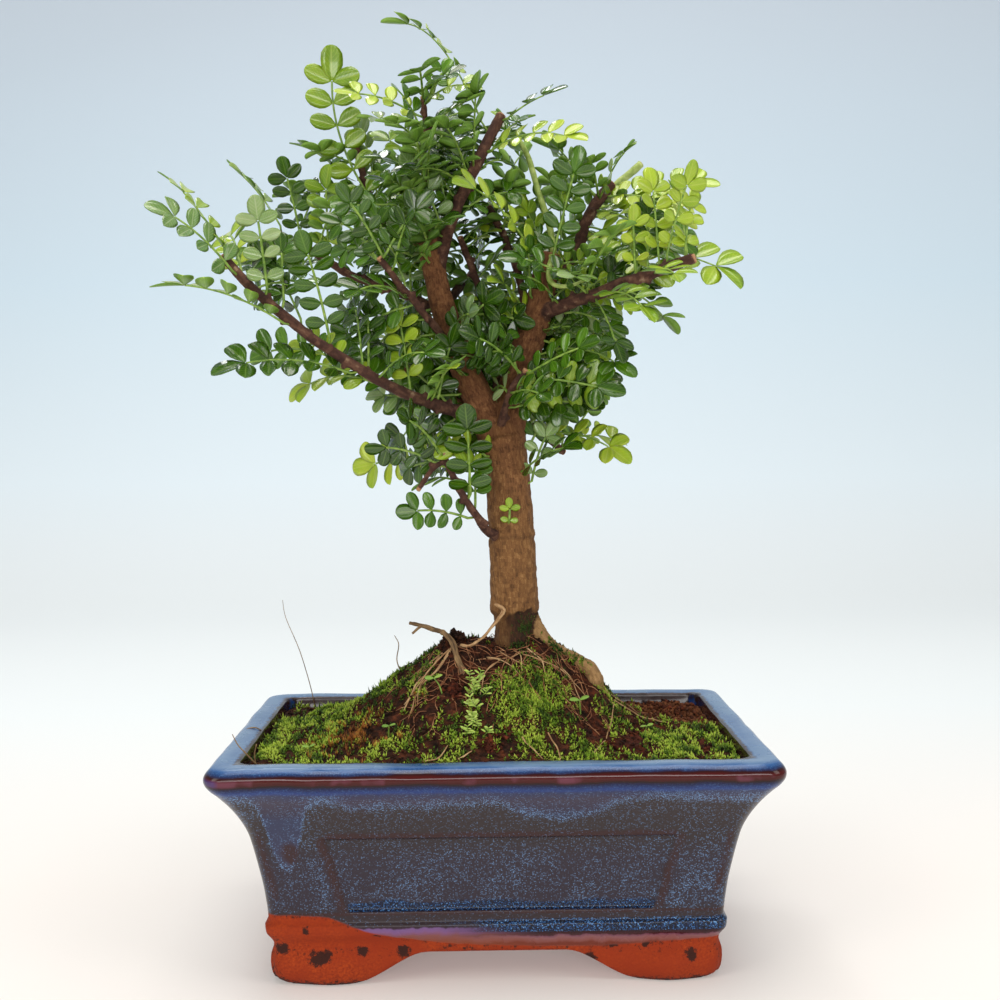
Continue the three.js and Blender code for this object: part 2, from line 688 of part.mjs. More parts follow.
LEAVES.forEach(([wood, share, tipPlace, pairs, face, colour, arch], index) => {
  const tip = vector(tipPlace);
  const base = leafBase(WOOD[wood], share, tip);
  const name = `leaf_${String(index + 1).padStart(2, '0')}_${wood}`;
  addPiece(name, featherLeaf({ base, tip, pairs, face, arch }), colour, LEAF_ROUGHNESS);
});
addPiece(
  'trunk_sprout',
  featherLeaf({ ...SPROUT, base: vector(SPROUT.base), tip: vector(SPROUT.tip) }),
  SPROUT.colour,
  LEAF_ROUGHNESS,
);

// The origin lies under the middle of the whole plant, on the surface that the feet stand on
const bounds = new THREE.Box3().setFromObject(plant);
const middle = bounds.getCenter(new THREE.Vector3());
plant.position.set(-middle.x, -middle.y, -bounds.min.z);

export default plant;
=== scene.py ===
import functools
import math
import random

import bmesh
import bpy
from mathutils import Euler, Matrix, Vector, kdtree, noise


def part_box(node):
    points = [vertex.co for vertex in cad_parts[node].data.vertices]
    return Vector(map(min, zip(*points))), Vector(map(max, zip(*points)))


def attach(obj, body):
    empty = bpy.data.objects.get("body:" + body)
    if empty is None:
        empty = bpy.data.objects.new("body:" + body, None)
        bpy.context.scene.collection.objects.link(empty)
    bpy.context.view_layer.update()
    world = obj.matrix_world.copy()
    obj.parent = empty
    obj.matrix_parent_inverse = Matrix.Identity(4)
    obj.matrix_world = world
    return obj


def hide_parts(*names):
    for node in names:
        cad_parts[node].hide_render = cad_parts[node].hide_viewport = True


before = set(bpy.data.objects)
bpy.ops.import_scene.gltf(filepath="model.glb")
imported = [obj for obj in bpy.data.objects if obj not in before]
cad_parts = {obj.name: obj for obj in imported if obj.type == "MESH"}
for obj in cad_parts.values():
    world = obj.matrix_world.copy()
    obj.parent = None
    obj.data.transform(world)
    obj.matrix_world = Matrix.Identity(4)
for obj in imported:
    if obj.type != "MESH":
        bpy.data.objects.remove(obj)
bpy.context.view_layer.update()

# A Japanese pepper bonsai. Shapes are worked out in millimetres from the middle of the bowl's
# foot line, +X right, +Y to the back, +Z up, and put in the frame's metres by add_piece.
MM = 0.001
BOWL_LOW, BOWL_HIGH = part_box("bowl")
ORIGIN = Vector(((BOWL_LOW.x + BOWL_HIGH.x) / 2, (BOWL_LOW.y + BOWL_HIGH.y) / 2, 0))


def lerp(low, high, share):
    return low + (high - low) * share


def smooth(low, high, value):
    """0 below low, 1 above high, and an even S between them."""
    share = min(max((value - low) / (high - low), 0), 1)
    return share * share * (3 - 2 * share)


def table_value(rows, place):
    """Reads a table of (place, value) rows, with an even slope between two rows."""
    if place <= rows[0][0]:
        return rows[0][1]
    for (x0, v0), (x1, v1) in zip(rows, rows[1:]):
        if place <= x1:
            return lerp(v0, v1, (place - x0) / (x1 - x0))
    return rows[-1][1]


def hump(value, middle, width):
    """1 at the middle, and near 0 two widths away from it."""
    return math.exp(-((value - middle) / width) ** 2)


def near(x, y, spot):
    """1 in the middle of a spot of the ground, x, y and radius, and fading round it."""
    return math.exp(-((x - spot[0]) ** 2 + (y - spot[1]) ** 2) / spot[2] ** 2)


def grain(x, y, z=0.0, scale=1.0):
    """Soft noise from about -1 to 1, with lumps of the given size in millimetres."""
    return noise.noise(Vector((x / scale, y / scale, z / scale)))


def curve_at(route, share):
    """Point and direction on the smooth curve through the route's points."""
    spans = len(route) - 1
    place = min(max(share, 0), 1) * spans
    index = min(int(place), spans - 1)
    t = place - index
    p1, p2 = Vector(route[index]), Vector(route[index + 1])
    p0 = Vector(route[index - 1]) if index > 0 else 2 * p1 - p2
    p3 = Vector(route[index + 2]) if index + 2 <= spans else 2 * p2 - p1
    m1, m2 = (p2 - p0) / 2, (p3 - p1) / 2
    a = 2 * p1 - 2 * p2 + m1 + m2
    b = -3 * p1 + 3 * p2 - 2 * m1 - m2
    return a * t ** 3 + b * t * t + m1 * t + p1, (3 * a * t * t + 2 * b * t + m1).normalized()


def radius_at(radii, share):
    place = min(max(share, 0), 1) * (len(radii) - 1)
    index = min(int(place), len(radii) - 2)
    return lerp(radii[index], radii[index + 1], place - index)


def route_length(route):
    return sum((Vector(b) - Vector(a)).length for a, b in zip(route, route[1:]))


class Shape:
    """Points in millimetres, faces with their finish number, and a mark of three numbers a point."""

    def __init__(self):
        self.points, self.faces, self.marks, self.finishes = [], [], [], []

    def add(self, points, faces, marks=None, finish=0):
        start = len(self.points)
        self.points += points
        self.faces += [[start + corner for corner in face] for face in faces]
        self.marks += marks or [(0.0, 0.0, 0.0)] * len(points)
        self.finishes += [finish] * len(faces)

    def add_rings(self, rings, marks=None, finish=0):
        """Skins a list of closed rings of as many points each; finish may name one for each column."""
        count = len(rings[0])
        faces = []
        for row in range(len(rings) - 1):
            low, high = row * count, (row + 1) * count
            for i in range(count):
                j = (i + 1) % count
                faces.append((low + i, low + j, high + j, high + i))
        columns = finish if isinstance(finish, tuple) else (finish,) * count
        faces.append(tuple(reversed(range(count))))
        faces.append(tuple(range((len(rings) - 1) * count, len(rings) * count)))
        points = [point for ring in rings for point in ring]
        flat = [mark for row in marks for mark in row] if marks else None
        self.add(points, faces, flat)
        self.finishes[-len(faces):] = list(columns) * (len(rings) - 1) + [columns[0]] * 2


def put_object(name, data):
    made = bpy.data.objects.new(name, data)
    bpy.context.scene.collection.objects.link(made)
    return made


def mesh_from(name, shape):
    mesh = bpy.data.meshes.new(name)
    mesh.from_pydata([ORIGIN + MM * Vector(p) for p in shape.points], [], shape.faces)
    mesh.polygons.foreach_set("material_index", shape.finishes)
    mark = mesh.attributes.new("mark", "FLOAT_VECTOR", "POINT")
    mark.data.foreach_set("vector", [number for row in shape.marks for number in row])
    mesh.polygons.foreach_set("use_smooth", [True] * len(mesh.polygons))
    mesh.update()
    return mesh


def finish_piece(piece, finishes, replaced=()):
    for finish in finishes:
        piece.data.materials.append(finish)
    if replaced:
        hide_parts(*replaced)
    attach(piece, "root")
    return piece


def add_piece(name, shape, finishes, replaced=()):
    return finish_piece(put_object(name, mesh_from(name, shape)), finishes, replaced)


def keep_result(piece):
    """Puts the result of a piece's modifiers in its mesh."""
    bpy.context.view_layer.update()
    result = bpy.data.meshes.new_from_object(piece.evaluated_get(bpy.context.evaluated_depsgraph_get()))
    piece.modifiers.clear()
    old, piece.data = piece.data, result
    name = old.name
    bpy.data.meshes.remove(old)
    result.name = name


# Finishes


def colour(code):
    """Linear colour from an sRGB hex value."""
    channels = [int(code[i:i + 2], 16) / 255 for i in (1, 3, 5)]
    return (*(c / 12.92 if c <= 0.04045 else ((c + 0.055) / 1.055) ** 2.4 for c in channels), 1.0)


def feed(made, inputs):
    """Fills a node's inputs, by name or in order, with values, colour codes, outputs or other nodes."""
    if isinstance(inputs, dict):
        pairs = [(made.inputs[key], value) for key, value in inputs.items()]
    else:
        pairs = zip([socket for socket in made.inputs if socket.enabled], inputs)
    for socket, value in pairs:
        if isinstance(value, bpy.types.Node):
            value = next(output for output in value.outputs if output.enabled)
        if isinstance(value, bpy.types.NodeSocket):
            made.id_data.links.new(value, socket)
        else:
            socket.default_value = colour(value) if isinstance(value, str) else value


def add_node(tree, kind, inputs=(), stops=(), **settings):
    """Adds a shader node with its settings, its inputs and a ramp's colours."""
    made = tree.nodes.new("ShaderNode" + kind)
    for key, value in settings.items():
        setattr(made, key, value)
    feed(made, inputs)
    for index, (place, code) in enumerate(stops):
        ramp = made.color_ramp.elements
        stop = ramp[index] if index < len(ramp) else ramp.new(1.0)
        stop.position, stop.color = place, colour(code)
    return made


def new_finish(name, **values):
    """A material, what adds nodes to it, its surface shader, and its coordinates in bowl millimetres."""
    material = bpy.data.materials.new(name)
    material.use_nodes = True
    add = functools.partial(add_node, material.node_tree)
    shader = material.node_tree.nodes["Principled BSDF"]
    feed(shader, {key.replace("_", " "): value for key, value in values.items()})
    lift = Vector((-ORIGIN.x / MM, -ORIGIN.y / MM, 0))
    place = add("TexCoord").outputs["Object"]
    place = add("Mapping", {"Vector": place, "Location": lift, "Scale": (1 / MM,) * 3})
    return material, add, shader, place


def mark_parts(add):
    mark = add("Attribute", attribute_name="mark")
    return add("SeparateXYZ", [mark.outputs["Vector"]]).outputs


def make_glaze():
    # Reduction-fired stoneware glaze on red clay: brown where thin, blue and speckled where it
    # pooled, milky under the lip, and bare matt terracotta on the feet, where it was wiped off
    material, add, shader, place = new_finish("fired_glaze_on_terracotta", IOR=1.4)
    x, _, z = add("SeparateXYZ", [place]).outputs
    drip, pool, thin = mark_parts(add)
    clay = add("Attribute", attribute_name="clay")
    above_line, clay_darkening, inner = add("SeparateXYZ", [clay.outputs["Vector"]]).outputs

    # Soft clouds of 11 mm, runs of 3 mm stretched downward, and crystals of 0.44 mm
    cloud = add("TexNoise", {"Vector": place, "Scale": 1 / 11, "Detail": 3.0})
    stretched = add("Mapping", {"Vector": place, "Scale": (1, 1, 0.35)})
    runs = add("TexNoise", {"Vector": stretched, "Scale": 1 / 3, "Detail": 3.0})
    crystals = add("TexNoise", {"Vector": place, "Scale": 1 / 0.44, "Detail": 2.5, "Roughness": 0.7})

    wobble = add("Math", [runs, 2.4, -1.2], operation="MULTIPLY_ADD")
    height = add("Math", [z, wobble], operation="ADD")
    share = add("Math", [height, BOWL_TALL], operation="DIVIDE")
    body = add("ValToRGB", [share], stops=[(0.20, "#301E1E"), (0.31, "#2C2227"), (0.36, "#2B2430"),
        (0.55, "#2D2631"), (0.66, "#2E2628"), (1.0, "#342B2D")])
    under_lip = add("ValToRGB", [share], stops=[(0.50, "#363448"), (0.76, "#2E3450"), (0.79, "#322E42"),
        (0.85, "#3A3446"), (0.885, "#2E3454"), (0.905, "#122A66")])

    # Lower edge of the milky band under the lip, with a line of blue crystals along it
    over_edge = add("Math", [height, drip], operation="SUBTRACT")
    milky = add("MapRange", [over_edge, -1.0, 1.6])
    edge_place = add("MapRange", [over_edge, -3.0, 4.0])
    edge_line = add("ValToRGB", [edge_place], stops=[(0.2, "#000000"), (0.5, "#FFFFFF"), (0.9, "#000000")])

    # Pooled blue, thin brown
    pooled = add("ValToRGB", [crystals], stops=[(0.47, "#040818"), (0.55, "#0A1C44"), (0.62, "#2A64A4"),
        (0.72, "#8CBCDE")])
    pool_share = add("Math", [pool, cloud], operation="MULTIPLY")
    pool_share = add("MapRange", [pool_share, 0.08, 0.34])
    thin_share = add("Math", [thin, runs], operation="MULTIPLY")
    thin_share = add("MapRange", [thin_share, 0.12, 0.42, 0.0, 0.92])

    # Pale blue dots in cells of 0.36 mm: thick low on the wall and along the band's edge, few between
    fleck = add("MapRange", [crystals, 0.50, 0.70])
    dots = add("TexVoronoi", {"Vector": place, "Scale": 1 / 0.36})
    in_dot = add("MapRange", [dots, 0.60, 0.25])
    chance = add("SeparateXYZ", [dots.outputs["Color"]])
    low_share = add("ValToRGB", [share], stops=[(0.310, "#303030"), (0.335, "#8C8C8C"), (0.46, "#989898"),
        (0.60, "#808080"), (0.70, "#545454"), (0.80, "#808080")])
    fleck_amount = add("MapRange", [cloud, 0.36, 0.64, 0.25, 1.5])
    fleck_amount = add("Math", [fleck_amount, low_share], operation="MULTIPLY")
    from_middle = add("Math", [x], operation="ABSOLUTE")
    beside_panel = add("MapRange", [from_middle, 40.0, 50.0, 0.9, 1.5])
    fleck_amount = add("Math", [fleck_amount, beside_panel], operation="MULTIPLY")
    fleck_amount = add("Math", [edge_line, 0.6, fleck_amount], operation="MULTIPLY_ADD")
    hide = add("Math", [thin_share, pool_share], operation="MAXIMUM")
    hide = add("Math", [1.0, hide], operation="SUBTRACT")
    fleck_amount = add("Math", [fleck_amount, hide], operation="MULTIPLY", use_clamp=True)
    taken = add("Math", [chance, fleck_amount], operation="ADD")
    taken = add("MapRange", [taken, 0.75, 1.45])
    fleck_share = add("Math", [in_dot, taken], operation="MULTIPLY")

    # Rolled rim: deep blue under it, a clear maroon lip with lighter pink patches of painted highlight, and
    # blue crystals on the milky top
    rim_wobble = add("Math", [cloud, 1.6, -0.8], operation="MULTIPLY_ADD")
    rim_height = add("Math", [z, rim_wobble], operation="ADD")
    rim_share = add("MapRange", [rim_height, 56.0, 64.4])
    rim = add("ValToRGB", [rim_share], stops=[(0.0, "#3C3850"), (0.14, "#1E3A7C"), (0.34, "#0A1440"),
        (0.43, "#1C050A"), (0.50, "#3C0605"), (0.66, "#460A08"), (0.74, "#28080A"), (0.82, "#16305E"),
        (0.90, "#2A5288"), (0.98, "#6480A2")])
    crystal_zone = add("ValToRGB", [rim_share], stops=[(0.0, "#A0A0A0"), (0.30, "#808080"),
        (0.42, "#000000"), (0.74, "#000000"), (0.82, "#A0A0A0"), (1.0, "#606060")])
    top_fleck = add("Math", [fleck, crystal_zone], operation="MULTIPLY")
    lip_band = add("ValToRGB", [rim_share], stops=[(0.42, "#000000"), (0.52, "#B0B0B0"), (0.62, "#B0B0B0"),
        (0.70, "#000000")])
    # Lighter pink patches on the lip, placed by the cloud noise: painted highlight
    lip_highlight_patch = add("MapRange", [cloud, 0.57, 0.66])
    lip_highlight_patch = add("Math", [lip_highlight_patch, lip_band], operation="MULTIPLY")
    left_tip = add("MapRange", [x, -72.6, -74.0])
    left_tip = add("Math", [left_tip, lip_band], operation="MULTIPLY")
    for amount, over in ((top_fleck, "#5C8EC8"), (lip_highlight_patch, "#7A4258"), (left_tip, "#1E3A80")):
        rim = add("Mix", [amount, rim, over], data_type="RGBA")
    rim_mask = add("MapRange", [rim_height, 56.6, 58.0])

    # Inner edge of the rim, where the glaze broke to brown, and the blue wall inside it
    ragged = add("TexNoise", {"Vector": place, "Scale": 1 / 1.4, "Detail": 4.0})
    inner_place = add("Math", [ragged, 2.6, inner], operation="MULTIPLY_ADD")
    inner_share = add("MapRange", [inner_place, 7.6, 13.0])
    inside = add("ValToRGB", [inner_share], stops=[(0.0, "#6480A2"), (0.14, "#3A5C8A"), (0.26, "#3A2220"),
        (0.50, "#241414"), (0.62, "#16346C"), (1.0, "#10264E")])
    inner_mask = add("MapRange", [inner_place, 7.6, 8.2])

    # Mauve run on the belt: lavender over rust to the left, a maroon line over old rose to the right
    belt_place = add("MapRange", [height, 11.0, 18.0])
    belt_left = add("ValToRGB", [belt_place], stops=[(0.0, "#7E3A1C"), (0.2, "#824230"), (0.42, "#7E4A4A"),
        (0.62, "#76507C"), (0.74, "#6E5080"), (0.80, "#2A1420"), (1.0, "#241C28")])
    belt_right = add("ValToRGB", [belt_place], stops=[(0.0, "#6A2A1A"), (0.10, "#7E4640"),
        (0.26, "#845458"), (0.35, "#704454"), (0.41, "#3A0814"), (0.56, "#240A12"), (1.0, "#201824")])
    belt_side = add("MapRange", [x, -14.0, 12.0])
    belt = add("Mix", [belt_side, belt_left, belt_right], data_type="RGBA")
    on_belt = add("MapRange", [z, 17.4, 16.6])
    belt_keep = add("Math", [on_belt, add("MapRange", [pool_share, 1.0, 0.0])], operation="MULTIPLY")

    glaze = body
    for amount, over in ((milky, under_lip), (pool_share, pooled), (thin_share, "#331C1D"),
            (fleck_share, "#6E94C2"), (rim_mask, rim), (inner_mask, inside), (belt_keep, belt)):
        glaze = add("Mix", [amount, glaze, over], data_type="RGBA")

    # Bare terracotta with grains of 0.6 mm, darker at its foot, low at the corners and just under the glaze
    # line, and caked spots
    clay_grain = add("TexNoise", {"Vector": place, "Scale": 1 / 0.6, "Detail": 4.0})
    bare = add("ValToRGB", [clay_grain], stops=[(0.25, "#7C2606"), (0.5, "#943208"), (0.75, "#AC400C")])
    warm = add("MapRange", [cloud, 0.35, 0.65])
    bare = add("Mix", [warm, bare, "#8E2C07"], data_type="RGBA")
    soil_noise = add("TexNoise", {"Vector": place, "Scale": 1 / 1.3, "Detail": 8.0, "Roughness": 0.8})
    caked = clay_darkening
    for sx, sz, radius in FOOT_STAINS:
        front = table_value(WALL[:11], sz) - BOWL_DEEP / 2 - foot_swell(sz, sx, FEET[0])
        reach = add("VectorMath", [place, (sx, front, sz)], operation="DISTANCE")
        spot = add("MapRange", [reach, radius * 1.5, radius * 0.3, 0.0, 0.3])
        caked = add("Math", [caked, spot], operation="ADD")
    dirt = add("Math", [soil_noise, caked], operation="ADD")
    dirt = add("MapRange", [dirt, 0.65, 0.72, 0.0, 0.93])
    bare = add("Mix", [dirt, bare, "#23120D"], data_type="RGBA")
    line_noise = add("Math", [runs, 0.8, above_line], operation="MULTIPLY_ADD")
    glazed = add("MapRange", [line_noise, 0.25, 0.75])
    final = add("Mix", [glazed, bare, glaze], data_type="RGBA")

    gloss = add("MapRange", [cloud, 0.3, 0.7, 0.20, 0.32])
    lip_gloss = add("ValToRGB", [rim_share], stops=[(0.2, "#000000"), (0.4, "#6C6C6C"), (0.7, "#6C6C6C"),
        (0.95, "#000000")])
    gloss = add("Math", [gloss, lip_gloss], operation="SUBTRACT")
    rough = add("Mix", [glazed, 0.9, gloss], data_type="FLOAT")
    pitted = add("Mix", [glazed, clay_grain, cloud], data_type="FLOAT")
    bump = add("Bump", {"Height": pitted, "Strength": 0.35, "Distance": 0.25 * MM})
    feed(shader, {"Base Color": final, "Roughness": rough, "Normal": bump})
    return material


def make_soil():
    # Damp peat and bark compost, crumbled, and red-brown on the crumbs; the colour follows the bump's
    # lumps, with painted shade near black in the hollows
    material, add, shader, place = new_finish("damp_peat_compost", Roughness=0.95, Specular_IOR_Level=0.2)
    lumps = add("TexNoise", {"Vector": place, "Scale": 1 / 2.5, "Detail": 8.0, "Roughness": 0.65})
    crumbs = add("TexVoronoi", {"Vector": place, "Scale": 1 / 1.1})
    tone, dry, _ = mark_parts(add)
    # The low end of each ramp falls in the bump's hollows: painted shade
    brown = add("ValToRGB", [lumps], stops=[(0.3, "#0F0A07"), (0.48, "#2A1A11"), (0.6, "#4A2818"),
        (0.72, "#6A3A22")])
    red = add("ValToRGB", [lumps], stops=[(0.3, "#1C0D08"), (0.5, "#4A2013"), (0.7, "#7A3A22")])
    mixed = add("Mix", [tone, brown, red], data_type="RGBA")
    dried = add("ValToRGB", [lumps], stops=[(0.3, "#3A2013"), (0.5, "#704226"), (0.7, "#A06C44")])
    mixed = add("Mix", [dry, mixed, dried], data_type="RGBA")
    depth = add("Math", [lumps, crumbs], operation="SUBTRACT")
    bump = add("Bump", {"Height": depth, "Strength": 0.9, "Distance": 0.8 * MM})
    feed(shader, {"Base Color": mixed, "Normal": bump})
    return material


def make_moss():
    # Living moss: thin wet leaves that the light passes, yellow-green at the tips and dark at
    # the roots; a few cushions are russet with spore stalks
    material, add, shader, place = new_finish("living_moss", Roughness=0.65, Subsurface_Weight=0.15,
                                              Subsurface_Radius=(0.0006, 0.0008, 0.0001),
                                              Specular_IOR_Level=0.3)
    height, tone, russet = mark_parts(add)
    patches = add("TexNoise", {"Vector": place, "Scale": 1 / 6, "Detail": 3.0})
    mixed = add("Math", [tone, patches], operation="ADD")
    mixed = add("Math", [mixed, 0.5], operation="MULTIPLY")
    green = add("ValToRGB", [mixed], stops=[(0.22, "#2A420C"), (0.38, "#567618"), (0.52, "#86A62A"),
        (0.70, "#B0C648")])
    brown = add("ValToRGB", [tone], stops=[(0.0, "#5A3212"), (0.5, "#96561E"), (1.0, "#B87E34")])
    tip = add("Mix", [russet, green, brown], data_type="RGBA")
    shade = add("MapRange", [height, 0.0, 0.5])
    final = add("Mix", [shade, "#1C1E08", tip], data_type="RGBA")
    feed(shader, {"Base Color": final})
    return material


def make_bark():
    # Living bark: corky and tan with fine upright fissures on the trunk, red-brown on the
    # leaders, smooth and dark with pale pores on the shoots
    material, add, shader, _ = new_finish("living_bark", Roughness=0.85, Specular_IOR_Level=0.3)
    grown = add("Attribute", attribute_name="grain").outputs["Vector"]
    dark, low, wet_and_shaded = mark_parts(add)
    # Fissures about 0.65 mm apart and over twice as long, on flakes of 2.4 mm
    long_way = add("Mapping", {"Vector": grown, "Scale": (1, 1, 0.4)})
    fine = add("TexNoise", {"Vector": long_way, "Scale": 1 / 0.65, "Detail": 8.0, "Roughness": 0.8})
    flakes = add("TexNoise", {"Vector": grown, "Scale": 1 / 2.4, "Detail": 5.0, "Roughness": 0.6})
    fissures = add("Mix", [0.35, fine, flakes], data_type="FLOAT")
    tan = add("ValToRGB", [fissures], stops=[(0.34, "#382413"), (0.43, "#624226"), (0.53, "#815A34"),
        (0.66, "#AC8656")])
    red = add("ValToRGB", [fissures], stops=[(0.34, "#2C180F"), (0.45, "#5E3A22"), (0.56, "#825636"),
        (0.68, "#A07A50")])
    shoot = add("ValToRGB", [flakes], stops=[(0.3, "#2E1C18"), (0.48, "#4A2F26"), (0.62, "#684838"),
        (0.76, "#9C8268")])
    first = add("MapRange", [dark, 0.0, 0.5])
    second = add("MapRange", [dark, 0.5, 1.0])
    bark = add("Mix", [first, tan, red], data_type="RGBA")
    bark = add("Mix", [second, bark, shoot], data_type="RGBA")
    # Peat-dark bark: damp at the neck, with painted shade under the trunk's ledge, in the groove under the
    # collar and where the surface root leaves the trunk
    damp_and_shade = add("Math", [wet_and_shaded, fissures], operation="MULTIPLY")
    damp_and_shade = add("MapRange", [damp_and_shade, 0.12, 0.44, 0.0, 0.94])
    peat_and_shade_tone = add("ValToRGB", [fine], stops=[(0.38, "#100804"), (0.52, "#2C160C"), (0.66, "#583620")])
    bark = add("Mix", [damp_and_shade, bark, peat_and_shade_tone], data_type="RGBA")
    root = add("ValToRGB", [fissures], stops=[(0.3, "#4E3820"), (0.5, "#98774E"), (0.7, "#C09C6E")])
    bark = add("Mix", [low, bark, root], data_type="RGBA")
    ridge = add("Math", [flakes, 0.4, fissures], operation="MULTIPLY_ADD")
    bump = add("Bump", {"Height": ridge, "Strength": 0.8, "Distance": 0.5 * MM})
    feed(shader, {"Base Color": bark, "Normal": bump})
    return material


def make_woody(name, codes, fissure):
    # Dry wood or root skin: matt, with grain along the stem
    material, add, shader, _ = new_finish(name, Roughness=0.8, Specular_IOR_Level=0.3)
    grown = add("Attribute", attribute_name="mark").outputs["Vector"]
    long_way = add("Mapping", {"Vector": grown, "Scale": (1, 1, 0.2)})
    fibres = add("TexNoise", {"Vector": long_way, "Scale": 1 / fissure, "Detail": 5.0})
    tone = add("ValToRGB", [fibres], stops=list(zip((0.3, 0.5, 0.7), codes)))
    bump = add("Bump", {"Height": fibres, "Strength": 0.5, "Distance": 0.2 * MM})
    feed(shader, {"Base Color": tone, "Normal": bump})
    return material


def make_leaf(name, codes, shine, wax=0.5):
    # A pepper leaflet: waxy above, dull and paler below, with a light midrib, faint side veins
    # and a thin pale margin; some light passes the blade
    material, add, shader, place = new_finish(
        name, Roughness=shine, IOR=1.38, Subsurface_Weight=0.25, Subsurface_Radius=(0.0006, 0.001, 0.0001),
        Coat_Weight=wax, Coat_Roughness=0.08)
    across, along, tone = mark_parts(add)
    side = add("Math", [across], operation="ABSOLUTE")
    patches = add("TexNoise", {"Vector": place, "Scale": 1 / 5, "Detail": 2.0})
    mixed = add("Math", [patches, 0.5, tone], operation="MULTIPLY_ADD")
    green = add("ValToRGB", [mixed], stops=list(zip((0.2, 0.5, 0.8, 1.0), codes)))
    # Side veins leave the midrib forward, about seven a side
    slope = add("Math", [side, -0.35, along], operation="MULTIPLY_ADD")
    wave = add("Math", [add("Math", [slope, 44.0], operation="MULTIPLY")], operation="SINE")
    veins = add("MapRange", [wave, 0.5, 1.0, 0.0, 0.14])
    midrib = add("MapRange", [side, 0.11, 0.02, 0.0, 0.3])
    margin = add("MapRange", [side, 0.92, 1.0, 0.0, 0.2])
    lines = add("Math", [add("Math", [veins, midrib], operation="MAXIMUM"), margin], operation="MAXIMUM")
    top = add("Mix", [lines, green, colour(codes[-1])], data_type="RGBA")
    height = add("Math", [veins, midrib], operation="ADD")
    bump = add("Bump", {"Height": height, "Strength": 0.35, "Distance": -0.12 * MM})
    feed(shader, {"Base Color": top, "Normal": bump})
    return material


def make_stalk(name, codes):
    # Green twig or leaf stalk of this year: smooth, a little waxy, with faint lengthwise streaks
    material, add, shader, place = new_finish(name, Roughness=0.5, Subsurface_Weight=0.1,
                                              Subsurface_Radius=(0.0005, 0.0008, 0.0003))
    streaks = add("TexNoise", {"Vector": place, "Scale": 1 / 1.5, "Detail": 3.0})
    tone = add("ValToRGB", [streaks], stops=list(zip((0.3, 0.5, 0.7), codes)))
    feed(shader, {"Base Color": tone})
    return material


def make_drain_mesh():
    # Moulded polypropylene mesh: black-grey, satin, with a fine mould grain
    material, add, shader, place = new_finish("polypropylene_mesh", Roughness=0.5)
    texture = add("TexNoise", {"Vector": place, "Scale": 1 / 0.8, "Detail": 2.0})
    tone = add("ValToRGB", [texture], stops=[(0.3, "#1C1D1C"), (0.7, "#2C2E2C")])
    feed(shader, {"Base Color": tone})
    return material


# The bowl

BOWL_WIDE, BOWL_DEEP, BOWL_TALL = 155.0, 105.0, 64.0
WALL = [(0, 17.6), (1.2, 16.3), (3.5, 15.5), (6.5, 15.3), (9, 15.7), (11.6, 15.5), (13.4, 14.6),
        (14.8, 13.8), (17.4, 13.6), (18.6, 14.4), (27, 13.5), (34, 12.2), (40, 10.9), (44, 9.8), (48, 8),
        (52, 5.6), (55.6, 2.9), (57.6, 1.2), (59.4, 0.2), (61.2, 0), (62.9, 0.9), (64, 2.9), (63.7, 8.2)]
CAVITY = [(62.6, 8.4), (58, 9.4), (52, 12.6), (44, 15.6), (30, 18), (17, 19.4), (13, 21)]
PANEL_LOW, PANEL_HIGH, PANEL_SINK = 20.7, 42.5, 1.0
# Half widths of the sunk panels at their foot and head, and how far right the front one sits
PANEL_FRONT, PANEL_SIDE, PANEL_SHIFT = (42.2, 48), (18, 23), 1.3
# Middle, half width and swell of the feet on the long and the short walls
FEET = (47, 14, 2.0), (29, 11, 1.2)
ROLL_START = 59.4
# Arches between the feet: name, half width at the top and at the foot, reach, and whether it runs along x
ARCHES = ("front", 19, 41, 70, False), ("side", 9, 23, 95, True)
ARCH_HEIGHT, ARCH_STEPS = 9, 12
# How far each drain hole is from the middle, its radius and its number of sides
DRAIN_PLACE, DRAIN_RADIUS, DRAIN_SIDES = 30, 6, 32
# Lower edge of the milky band, lower edge of the glaze, and pooled blue on the belt, along the front
DRIP_EDGE = [(-77, 54.5), (-65, 54.9), (-63, 51), (-61.4, 42), (-59.6, 35.5), (-57.2, 33.2), (-54.8, 35),
             (-53.2, 41), (-51.6, 50), (-50, 53.4), (-44, 54.7), (-39, 51.4), (-31, 52.3), (-18, 52.2),
             (1, 53.5), (6, 49.9), (17, 47.9), (28, 49.7), (33, 53.6), (44, 54.8), (55, 53.4), (77, 53.4)]
GLAZE_LINE = [(-66, 20.2), (-54, 20.0), (-46, 19.3), (-40, 17), (-33, 14.6), (-24, 12.9), (-12, 11.2),
              (5, 10.2), (28, 9.9), (50, 11.3), (66, 12.6)]
BELT_POOL = [(-28, 0), (-8, 0.35), (10, 0.9), (66, 1.0)]
# Caked soil on the front feet: x, z and radius
FOOT_STAINS = [(-49.6, 7.6, 2.2), (-47, 8.4, 1.6), (-26, 9.2, 1.7), (-59, 10.5, 1.5), (53.5, 7.3, 1.9),
               (25.7, 6.5, 1.8), (-52.4, 16.1, 1.3), (32, 10.8, 1.0), (41, 10.5, 0.9), (-37, 9.5, 1.4)]


def panel_edge(limits, z):
    return lerp(*limits, min(max((z - PANEL_LOW) / (PANEL_HIGH - PANEL_LOW), 0), 1))


def side_places(edge, run, inner, outer):
    """Places along one wall: even inside the panel, close at its edge, even to the corner."""
    half = [(edge - 1.6) * step / inner for step in range(1, inner + 1)]
    half += [edge + offset for offset in (-0.8, -0.35, 0, 0.35, 0.9, 1.8)]
    half += [lerp(edge + 1.8, run, step / outer) for step in range(1, outer + 1)]
    return [-place for place in reversed(half)] + [0] + half


def foot_swell(z, place, foot):
    """How far a foot bellies out of its wall."""
    middle, half, swell = foot
    return swell * smooth(half, 0, abs(abs(place) - middle)) * smooth(12, 7, z)


